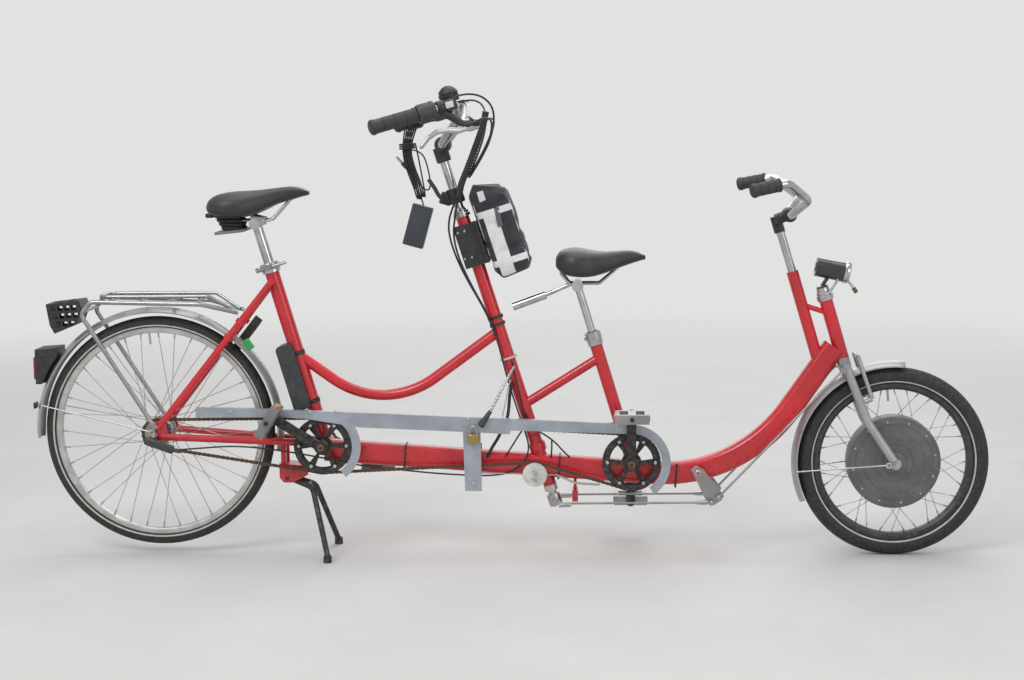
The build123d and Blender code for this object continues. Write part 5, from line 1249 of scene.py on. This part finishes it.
# place, radius and height of the head of each bolt in a plate
LINK_BOLTS = [((1.460, 0.150, 0.066), 0.0056, 0.004), ((1.479, 0.164, 0.066), 0.0056, 0.004),
              ((1.425, 0.228, 0.059), 0.0085, 0.005)]
for side, name in ((-1, "right"), (1, "left")):
    dress(rod_steel, name + "_bellcrank", name + "_tie_rod", name + "_push_rod")
    bolts = [screw("bolt", at(x, z, side * y), (0, side, 0), r, head) for (x, z, y), r, head in LINK_BOLTS]
    fit(joined(name + "_link_bolts", bolts), screw_steel, name + "_bellcrank", "steel")

# Battery bag: dark nylon sewn round the battery, with a broad white band down
# each side crossed by two narrow ones, and a grey strap on its flap. It hangs on
# a black plate box by four screws.
dress(black_plastic, "bag_holder")
BAG_L = 0.262
BAG_W = 0.100
BAG_D = 0.104
BAG_SKIN = 0.003
SWELL_FRAMES = 16
# x and height of each screw in the holder's side
HOLDER_SCREWS = [(0.802, 0.856), (0.820, 0.861), (0.820, 0.788), (0.839, 0.793)]
bag_middle = centre_of("battery_bag")
bag_tilt = atan2(0.224, 0.710)
BAG_UP = Vector((-sin(bag_tilt), 0, cos(bag_tilt)))
BAG_AHEAD = Vector((cos(bag_tilt), 0, sin(bag_tilt)))


def bag_shape(u, v):
    # rounded square sections up the bag, pinched and folded over at the top
    a = 2 * pi * v
    end = min(u, 1 - u)
    shrink = 1 - 0.30 * max(0, 1 - end / 0.10) ** 2
    across = abs(cos(a)) ** 0.42 * (1 if cos(a) > 0 else -1)
    deep = abs(sin(a)) ** 0.42 * (1 if sin(a) > 0 else -1)
    rise = (u - 0.5) * (BAG_L - 0.008)
    top = max(0, (u - 0.82) / 0.18)
    slope = -0.022 * top * (across + 1) / 2
    crumple = 0.0016 * sin(23 * u + 3 * a) + 0.0012 * sin(41 * u - 2 * a)
    d = (BAG_D / 2 - BAG_SKIN) * across * shrink + crumple
    w = (BAG_W / 2 - BAG_SKIN) * deep * shrink * (1 - 0.15 * top) + crumple
    return bag_middle + BAG_UP * (rise + slope) + BAG_AHEAD * d + Vector((0, w, 0))


bag = skin("battery_cover", 56, 64, bag_shape, 60)


def swollen(piece, pressure, cap):
    # the soft piece is blown up a little as cloth and held within a cap
    rest = [vertex.co.copy() for vertex in piece.data.vertices]
    made = piece.modifiers.new("stuffing", "CLOTH")
    made.settings.quality = 6
    made.settings.mass = 0.2
    made.settings.use_pressure = True
    made.settings.uniform_pressure_force = pressure
    made.settings.effector_weights.gravity = 0
    made.settings.tension_stiffness = 25
    made.settings.bending_stiffness = 2
    for step in range(1, SWELL_FRAMES + 1):
        bpy.context.scene.frame_set(step)
    held = piece.evaluated_get(bpy.context.evaluated_depsgraph_get())
    moved = [vertex.co.copy() for vertex in held.data.vertices]
    piece.modifiers.remove(made)
    bpy.context.scene.frame_set(1)
    for vertex, a, b in zip(piece.data.vertices, rest, moved):
        step = b - a
        if step.length > cap:
            step *= cap / step.length
        vertex.co = a + step


swollen(bag, 4, 0.006)

WHITE_BAND = (0.92, 0.92, 0.92, 1)
nylon, nylon_shader, nylon_place = new_finish("bag_nylon")
bag_inputs = {"Vector": nylon_place, "Location": tuple(bag_middle), "Rotation": (0, -bag_tilt, 0)}
bag_place = nylon_place.node("Mapping", {"vector_type": "TEXTURE"}, bag_inputs)
ahead_wire = bag_place.node("SeparateXYZ", {}, {"Vector": bag_place}, "X")
side_wire = bag_place.node("SeparateXYZ", {}, {"Vector": bag_place}, "Y")
up_wire = bag_place.node("SeparateXYZ", {}, {"Vector": bag_place}, "Z")
warp = (up_wire * 5200.0).sine() * (ahead_wire * 5200.0).sine()
band = (ahead_wire + 0.013).size() < 0.0185
band = band * (up_wire < 0.052)
cross_bands = ((up_wire - 0.045).size() < 0.0085) + ((up_wire + 0.088).size() < 0.0085)
flat_side = side_wire.size() > 0.030
white = (band + cross_bands).ramp(0.4, 0.6) * flat_side
piping_wire = ((ahead_wire + 0.0465).size() < 0.0012) + ((ahead_wire - 0.0465).size() < 0.0012)
white = (white + piping_wire * flat_side * (up_wire < 0.075)).ramp(0.4, 0.6)
mottle = nylon_place.noise(nylon_place, 40.0, 4.0).ramp(0.3, 0.7)
dark_cloth = mottle.mix((0.020, 0.015, 0.023, 1), (0.048, 0.038, 0.054, 1))
pale_cloth = mottle.mix(WHITE_BAND, (0.84, 0.84, 0.85, 1))
link(nylon_shader, "Base Color", white.mix(dark_cloth, pale_cloth))
link(nylon_shader, "Roughness", mottle * 0.1 + 0.72)
nylon_shader.inputs["Sheen Weight"].default_value = 0.25
link(nylon_shader, "Normal", bump(warp + nylon_place.noise(nylon_place, 35.0, 4.0) * 3.0, 0.35, 0.0008))
fit(bag, nylon, "frame", "bag_fabric", "battery_bag")
holder_screws = [screw("screw", at(x, z, -0.0280), (0, -1, 0), 0.0036, 0.0022) for x, z in HOLDER_SCREWS]
patch = block("bare_patches", at(0.866, 0.952, -0.0503), (0.017, 0.002, 0.027), turn=17, bevel=0.0006)
fit(patch, window_white, "frame", "bag_fabric")
flap_grey = surface("flap_grey", (0.13, 0.125, 0.14), 0.8, dust=0.2)
flap_strap = block("flap_strap", at(0.910, 0.899, -0.0520), (0.014, 0.003, 0.050), turn=11.5, bevel=0.001)
fit(flap_strap, flap_grey, "frame", "bag_fabric")
fit(joined("holder_screws", holder_screws), bright_alloy, "frame", "steel")

# Charger lead: a thin black cable folded into a hank over the left grip, from the
# charger that hangs on it, tied round by its own end, which carries a small plug.
charger_slate = surface("charger_slate", (0.052, 0.062, 0.074), 0.40, dust=0.15, grain=700)
dress(charger_slate, "charger")
cable_black = surface("cable_black", (0.016, 0.016, 0.017), 0.45, dust=0.2)
CABLE_D = 0.0042
CHARGER_TOP = at(0.6867, 0.9143, 0.272)
# x, height of the hank's middle line, from the grip down to the charger
HANK_PATH = [(0.662, 1.122), (0.645, 1.092), (0.643, 1.052), (0.656, 1.006), (0.670, 0.972), (0.680, 0.945)]
HANK_Y = 0.272
LOOPS = 5
STRAND_GAP = 0.0054
HALF_DEPTH = 0.0066
RING_HALF = 0.0226
grip_tip, grip_way = bar_end(REAR_TIP, REAR_BEND, 1)
grip_out = grip_way.cross(Vector((0, 0, -1))).normalized()
grip_up = grip_out.cross(grip_way)
on_grip = grip_tip + grip_way * 0.062


def places(rows):
    # x, height and side distance of each, as places
    return [at(*row) for row in rows]


def strand(k, height, side):
    # a control point of loop k beside the hank's middle line, on one side of it
    x, z = HANK_PATH[height]
    before, after = HANK_PATH[max(0, height - 1)], HANK_PATH[min(len(HANK_PATH) - 1, height + 1)]
    run = Vector((after[0] - before[0], 0, after[1] - before[1])).normalized()
    across = Vector((-run.z, 0, run.x))
    loose = 1 + 0.10 * sin(2.1 * k + 1.3 * height)
    return at(x, z, HANK_Y + side * HALF_DEPTH * loose) + across * (k - (LOOPS - 1) / 2) * STRAND_GAP


lead_points = [CHARGER_TOP, CHARGER_TOP + Vector((-0.002, 0.004, 0.012))]
for k in range(LOOPS):
    over = on_grip + grip_way * (k - (LOOPS - 1) / 2) * STRAND_GAP
    lead_points += [strand(k, height, 1) for height in (4, 3, 2, 1)]
    for out, rise in ((1, -0.012), (1, RING_HALF), (-1, RING_HALF), (-1, -0.012)):
        lead_points.append(over + grip_out * (out * RING_HALF) + grip_up * rise)
    lead_points += [strand(k, height, -1) for height in (1, 2, 3, 4)]
    low = Vector((0, 0, -0.008 - 0.003 * (k % 3)))
    lead_points += [strand(k, 5, -1) + low, strand(k, 5, 1) + low + Vector((STRAND_GAP / 2, 0, 0))]
# the loose end: round the hank, down ahead of it, and back up to the plug
WRAP_AT = at(0.6445, 1.085, HANK_Y)
for turn_no in range(3):
    rise = Vector((0, 0, -0.0058 * turn_no))
    for x, y in ((0.0215, 0.0165), (0.0215, -0.0165), (-0.0215, -0.0165), (-0.0215, 0.0165)):
        lead_points.append(WRAP_AT + rise + Vector((x, y, 0)))
        rise = rise - Vector((0, 0, 0.00145))
LEAD_END = [(0.683, 1.064, 0.296), (0.700, 1.010, 0.300), (0.706, 0.960, 0.300), (0.690, 0.952, 0.302),
            (0.664, 0.985, 0.304), (0.640, 1.014, 0.302)]
lead_points += places(LEAD_END)
lead = cable_line("charger_lead", lead_points, CABLE_D / 2, 2)
fit(lead, cable_black, "handlebar", "cable_sheath", "cable_hank")
plug_way = (Vector(lead_points[-1]) - Vector(lead_points[-2])).normalized()
PLUG_SECTION = [(-0.002, 0.0), (-0.002, 0.0026), (0.004, 0.0048), (0.020, 0.0054), (0.022, 0.0036),
                (0.022, 0.0)]
TIP_SECTION = [(0.0215, 0.0), (0.0215, 0.0042), (0.044, 0.0040), (0.046, 0.0030), (0.046, 0.0)]
plug = turned("charger_plug", PLUG_SECTION, lead_points[-1], plug_way, 24, 30)
fit(plug, black_plastic, "handlebar", "black_plastic")
plug_tip = turned("plug_tip", TIP_SECTION, lead_points[-1], plug_way, 20, 30)
fit(plug_tip, screw_steel, "handlebar", "steel")

# Control cables: black sheathed cables from the levers and shifters that loop
# ahead of the bar, meet in a ribbed sleeve and run down beside the column.
CABLE_R = 0.0026


def hose(name, points, radius, ribs, depth, steps):
    # a corrugated or beaded tube on a smooth line through points (x, z, y)
    def shape(u, v):
        here, ahead_of = Vector(between(points, u)), Vector(between(points, min(1, u + 0.01)))
        behind = Vector(between(points, max(0, u - 0.01)))
        way = (at(*ahead_of) - at(*behind)).normalized()
        side = way.cross(Vector((0, 1, 0))).normalized()
        other = way.cross(side)
        a = 2 * pi * v
        r = radius * (1 - depth + depth * abs(sin(pi * ribs * u)))
        return at(*here) + side * r * cos(a) + other * r * sin(a)

    return skin(name, steps, 14, shape, 50)


BAR_CABLES = [
    [(0.782, 1.190, -0.215), (0.812, 1.212, -0.180), (0.868, 1.215, -0.110), (0.905, 1.178, -0.080),
     (0.897, 1.110, -0.060), (0.868, 1.050, -0.045), (0.838, 1.005, -0.036)],
    [(0.856, 1.141, -0.212), (0.880, 1.156, -0.190), (0.902, 1.150, -0.130), (0.892, 1.100, -0.075),
     (0.862, 1.045, -0.045), (0.834, 1.000, -0.032)],
    [(0.856, 1.141, 0.212), (0.882, 1.156, 0.180), (0.896, 1.140, 0.100), (0.880, 1.090, 0.020),
     (0.856, 1.040, -0.020), (0.832, 1.000, -0.028)],
    [(0.782, 1.190, 0.215), (0.820, 1.205, 0.180), (0.868, 1.190, 0.100), (0.878, 1.130, 0.010),
     (0.858, 1.060, -0.026), (0.834, 1.004, -0.040)],
]
bar_cables = [thread("bar_cable", places(run), CABLE_R, 3) for run in BAR_CABLES]
fit(joined("bar_cables", bar_cables), cable_black, "handlebar", "cable_sheath")
SLEEVE = [(0.880, 1.170, -0.052), (0.874, 1.140, -0.050), (0.862, 1.105, -0.048), (0.845, 1.060, -0.044),
          (0.828, 1.018, -0.040), (0.814, 0.984, -0.036), (0.806, 0.950, -0.034)]
sleeve = hose("cable_sleeve", SLEEVE, 0.0092, 34, 0.16, 150)
fit(sleeve, black_plastic, "handlebar", "cable_sheath")
COLUMN_CABLES = [
    [(0.808, 0.960, -0.034), (0.790, 0.925, -0.032), (0.778, 0.885, -0.027), (0.780, 0.846, -0.024),
     (0.797, 0.792, -0.022), (0.824, 0.735, -0.021), (0.858, 0.676, -0.020), (0.884, 0.625, -0.0195),
     (0.898, 0.585, -0.0195)],
    [(0.804, 0.956, -0.030), (0.797, 0.905, -0.034), (0.790, 0.855, -0.031), (0.801, 0.800, -0.031),
     (0.824, 0.745, -0.029), (0.850, 0.694, -0.027), (0.880, 0.640, -0.021), (0.899, 0.590, -0.0200)],
]
column_cables = joined("column_cables",
                       [thread("column_cable", places(run), CABLE_R, 3) for run in COLUMN_CABLES])
column_cables.data.materials.append(cable_black)
tuple(at(0.790, 0.855, -0.028))
tuple(at(0.808, 0.960, -0.034))
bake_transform(column_cables)

# Cables on the frame: past the guard into the low tube, along its lower edge and
# under it to the click box of the hub gear, held by ties; a beaded lead hangs too.
cable_white = surface("cable_white", (0.62, 0.62, 0.60), 0.45, dust=0.3)
FRAME_CABLE_R = 0.0022
WHITE_CABLE_R = 0.0018
COLUMN_R = 0.0172
# x, height and side distance of each black cable on the frame
FRAME_CABLES = [
    [(0.898, 0.592, -0.0200), (0.925, 0.480, -0.0205), (0.950, 0.400, -0.0210), (0.972, 0.335, -0.0220),
     (0.985, 0.290, -0.0245), (0.972, 0.250, -0.0250), (0.920, 0.212, -0.0240), (0.760, 0.2180, -0.0230),
     (0.640, 0.2300, -0.0225), (0.537, 0.2410, -0.0240), (0.450, 0.2620, -0.0330), (0.360, 0.2820, -0.0500),
     (0.277, 0.2960, -0.0600), (0.200, 0.3020, -0.0640), (0.120, 0.2980, -0.0760), (0.060, 0.2960, -0.0900)],
    [(0.940, 0.520, -0.0190), (0.950, 0.470, -0.0215), (0.965, 0.400, -0.0215), (0.975, 0.350, -0.0225),
     (0.957, 0.323, -0.0240), (0.940, 0.296, -0.0250), (0.920, 0.264, -0.0200)],
    [(0.975, 0.380, -0.0215), (0.992, 0.340, -0.0230), (1.028, 0.323, -0.0240), (1.056, 0.300, -0.0230),
     (1.072, 0.280, -0.0200), (1.090, 0.262, -0.0150)],
    [(1.043, 0.308, -0.0240), (1.044, 0.290, -0.0235), (1.041, 0.262, -0.0180)],
]
frame_cables = [thread("frame_cable", places(run), FRAME_CABLE_R, 3) for run in FRAME_CABLES]
RIBBED_LEAD = [(0.940, 0.462, -0.0250), (0.934, 0.432, -0.0265), (0.927, 0.372, -0.0270),
               (0.905, 0.322, -0.0280), (0.886, 0.290, -0.0260), (0.872, 0.262, -0.0190)]
frame_cables.append(hose("ribbed_lead", RIBBED_LEAD, 0.0046, 46, 0.22, 150))
fit(joined("frame_cables", frame_cables), cable_black, "frame", "cable_sheath")
WHITE_CABLES = [
    [(0.936, 0.470, -0.0225), (0.931, 0.456, -0.0235), (0.924, 0.420, -0.0240), (0.914, 0.373, -0.0245)],
    [(0.857, 0.2220, -0.0245), (0.905, 0.2195, -0.0248), (0.965, 0.2200, -0.0246), (1.028, 0.2170, -0.0245),
     (1.055, 0.2170, -0.0245)],
]
white_cables = [thread("white_cable", places(run), WHITE_CABLE_R, 2) for run in WHITE_CABLES]
WHITE_HOSE = [(1.052, 0.2180, -0.0250), (1.072, 0.2100, -0.0255), (1.094, 0.1985, -0.0225),
              (1.112, 0.1930, -0.0185), (1.140, 0.1900, -0.0150), (1.170, 0.1880, -0.0120)]
white_cables.append(hose("white_hose", WHITE_HOSE, 0.0034, 40, 0.2, 130))
fit(joined("white_cables", white_cables), cable_white, "frame", "white_nylon")
# x and height of two places on the low tube's middle line
LOW_TUBE_REAR = (0.441, 0.281)
LOW_TUBE_FRONT = (1.538, 0.202)
LOW_TUBE_SLOPE = (LOW_TUBE_FRONT[1] - LOW_TUBE_REAR[1]) / (LOW_TUBE_FRONT[0] - LOW_TUBE_REAR[0])
TIE_TURN = degrees(atan2(LOW_TUBE_SLOPE, 1))
TIE_SECTION = [(-0.004, COLUMN_R), (-0.004, 0.0212), (0.004, 0.0212), (0.004, COLUMN_R)]
WHITE_TIE_SECTION = [(-0.0025, COLUMN_R), (-0.0025, 0.0232), (0.0025, 0.0232), (0.0025, COLUMN_R)]
ties = []
for x in (0.655, 1.062, 1.370):
    z = LOW_TUBE_REAR[1] + LOW_TUBE_SLOPE * (x - LOW_TUBE_REAR[0])
    ties.append(block("tie", at(x, z), (0.0045, 0.0490, 0.0640), turn=TIE_TURN, bevel=0.0008))
for x, z in ((0.8965, 0.633), (0.902, 0.615)):
    ties.append(turned("tie", TIE_SECTION, at(x, z), COLUMN_DIR, 36))
fit(joined("cable_ties", ties), black_plastic, "frame", "black_plastic")
white_tie = turned("white_tie", WHITE_TIE_SECTION, at(0.930, 0.526), COLUMN_DIR, 36)
fit(white_tie, cable_white, "frame", "white_nylon")
CLICK_BOX = at(0.016, 0.309, -0.0935)
nose = [CLICK_BOX + Vector(rel) for rel in ((0.036, 0, -0.013), (0.056, 0.002, -0.019))]
hook = [CLICK_BOX + Vector(rel) for rel in ((-0.010, 0.004, 0.004), (-0.014, 0.020, 0.022))]
click_box = [block("case", CLICK_BOX, (0.082, 0.016, 0.022), turn=-20, bevel=0.0065),
             rod("nose", *nose, 0.0052, 12, 0.0036), rod("hook", *hook, 0.0060, 12)]
fit(joined("click_box", click_box), slate, "frame", "black_plastic")
BEADED_LEAD = [(0.946, 0.505, -0.0220), (0.938, 0.492, -0.0330), (0.929, 0.476, -0.0480),
               (0.912, 0.446, -0.0660), (0.898, 0.418, -0.0740), (0.884, 0.392, -0.0760)]
beaded_lead = hose("beaded_lead", BEADED_LEAD, 0.0042, 17, 0.42, 140)
fit(beaded_lead, screw_steel, "frame", "cable_sheath")
BOOT_SECTION = [(0.0, 0.0), (0.0, 0.0050), (0.012, 0.0064), (0.040, 0.0088), (0.048, 0.0092), (0.050, 0.0070),
                (0.050, 0.0)]
boot = turned("lead_boot", BOOT_SECTION, at(0.886, 0.396, -0.0760), (-0.56, 0, -0.83), 28, 30)
fit(boot, slate, "frame", "cable_sheath")

# Fittings: red collars on the column and round the lock's stays, rod ends and a
# shaft clamp on the steering, lugs for the rack, a clip on the rear mudguard, and
# the headlamp's small bracket.
LINK_Y = 0.060
COLLAR_SECTION = [(-0.012, COLUMN_R), (-0.012, 0.0205), (-0.008, 0.0222), (0.008, 0.0222), (0.012, 0.0205),
                  (0.012, COLUMN_R)]
CLIP_SECTION = [(-0.006, 0.0088), (-0.006, 0.0125), (0.006, 0.0125), (0.006, 0.0088)]
LOCK_X = 0.212
collars = [turned("collar", COLLAR_SECTION, at(1.005, 0.2885), COLUMN_DIR, 40)]
for side in (-1, 1):
    stay_low, stay_high = at(0.008, 0.349, side * 0.0675), at(0.312, 0.733, side * 0.024)
    stay_way = (stay_high - stay_low).normalized()
    middle = stay_low + stay_way * ((LOCK_X - 0.008) / stay_way.x)
    for step in (-0.026, 0.026):
        collars.append(turned("clip", CLIP_SECTION, middle + stay_way * step, stay_way, 28))
fit(joined("red_collars", collars), frame_red, "frame", "frame_paint")
FOOT_SECTION = [(-0.058, 0.0112), (-0.058, 0.0165), (-0.054, 0.0180), (-0.030, 0.0180), (-0.026, 0.0165),
                (-0.026, 0.0112)]
foot_clamp = turned("shaft_clamp", FOOT_SECTION, at(1.037, 0.187), COLUMN_DIR, 36)
fit(foot_clamp, bright_alloy, "handlebar", "alloy")
for side, name in ((-1, "right"), (1, "left")):
    y = side * LINK_Y
    rear_end = rod("rear_end", at(1.062, 0.1424, y), at(1.094, 0.1430, y), 0.0062, 14, 0.0048)
    front_end = rod("front_end", at(1.420, 0.1492, y), at(1.450, 0.1498, y), 0.0048, 14, 0.0062)
    fit(joined(name + "_tie_rod_ends", [rear_end, front_end]), bright_alloy, name + "_tie_rod", "steel")
lugs = []
for side in (-1, 1):
    lugs.append(block("foot_lug", at(0.000, 0.3560, side * 0.0745), (0.014, 0.0085, 0.018), turn=35,
                      bevel=0.002))
    lugs.append(rod("foot_bolt", at(-0.003, 0.3610, side * 0.0680), at(-0.003, 0.3610, side * 0.0870),
                    0.0042, 12))
    lugs.append(block("tail_lug", at(-0.1865, 0.6605, side * 0.030), (0.018, 0.012, 0.007), bevel=0.002))
fit(joined("rack_lugs", lugs), rack_silver, "frame", "alloy")
tail_clip = block("guard_clip", at(-0.3345, 0.402), (0.006, 0.030, 0.016), bevel=0.002)
fit(tail_clip, black_plastic, "frame", "black_plastic")
BRACKET_RUN = [(1.800, 0.740, -0.012), (1.812, 0.728, -0.014), (1.822, 0.716, -0.014), (1.830, 0.704, -0.014)]
lamp_wire = thread("lamp_bracket", places(BRACKET_RUN), 0.0036, 3)
fit(lamp_wire, bright_alloy, "fork", "alloy")
lamp_end = rod("bracket_end", at(1.828, 0.707, -0.014), at(1.836, 0.695, -0.014), 0.0055, 14)
fit(lamp_end, rusty_nut, "fork", "red_lens")

low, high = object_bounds()
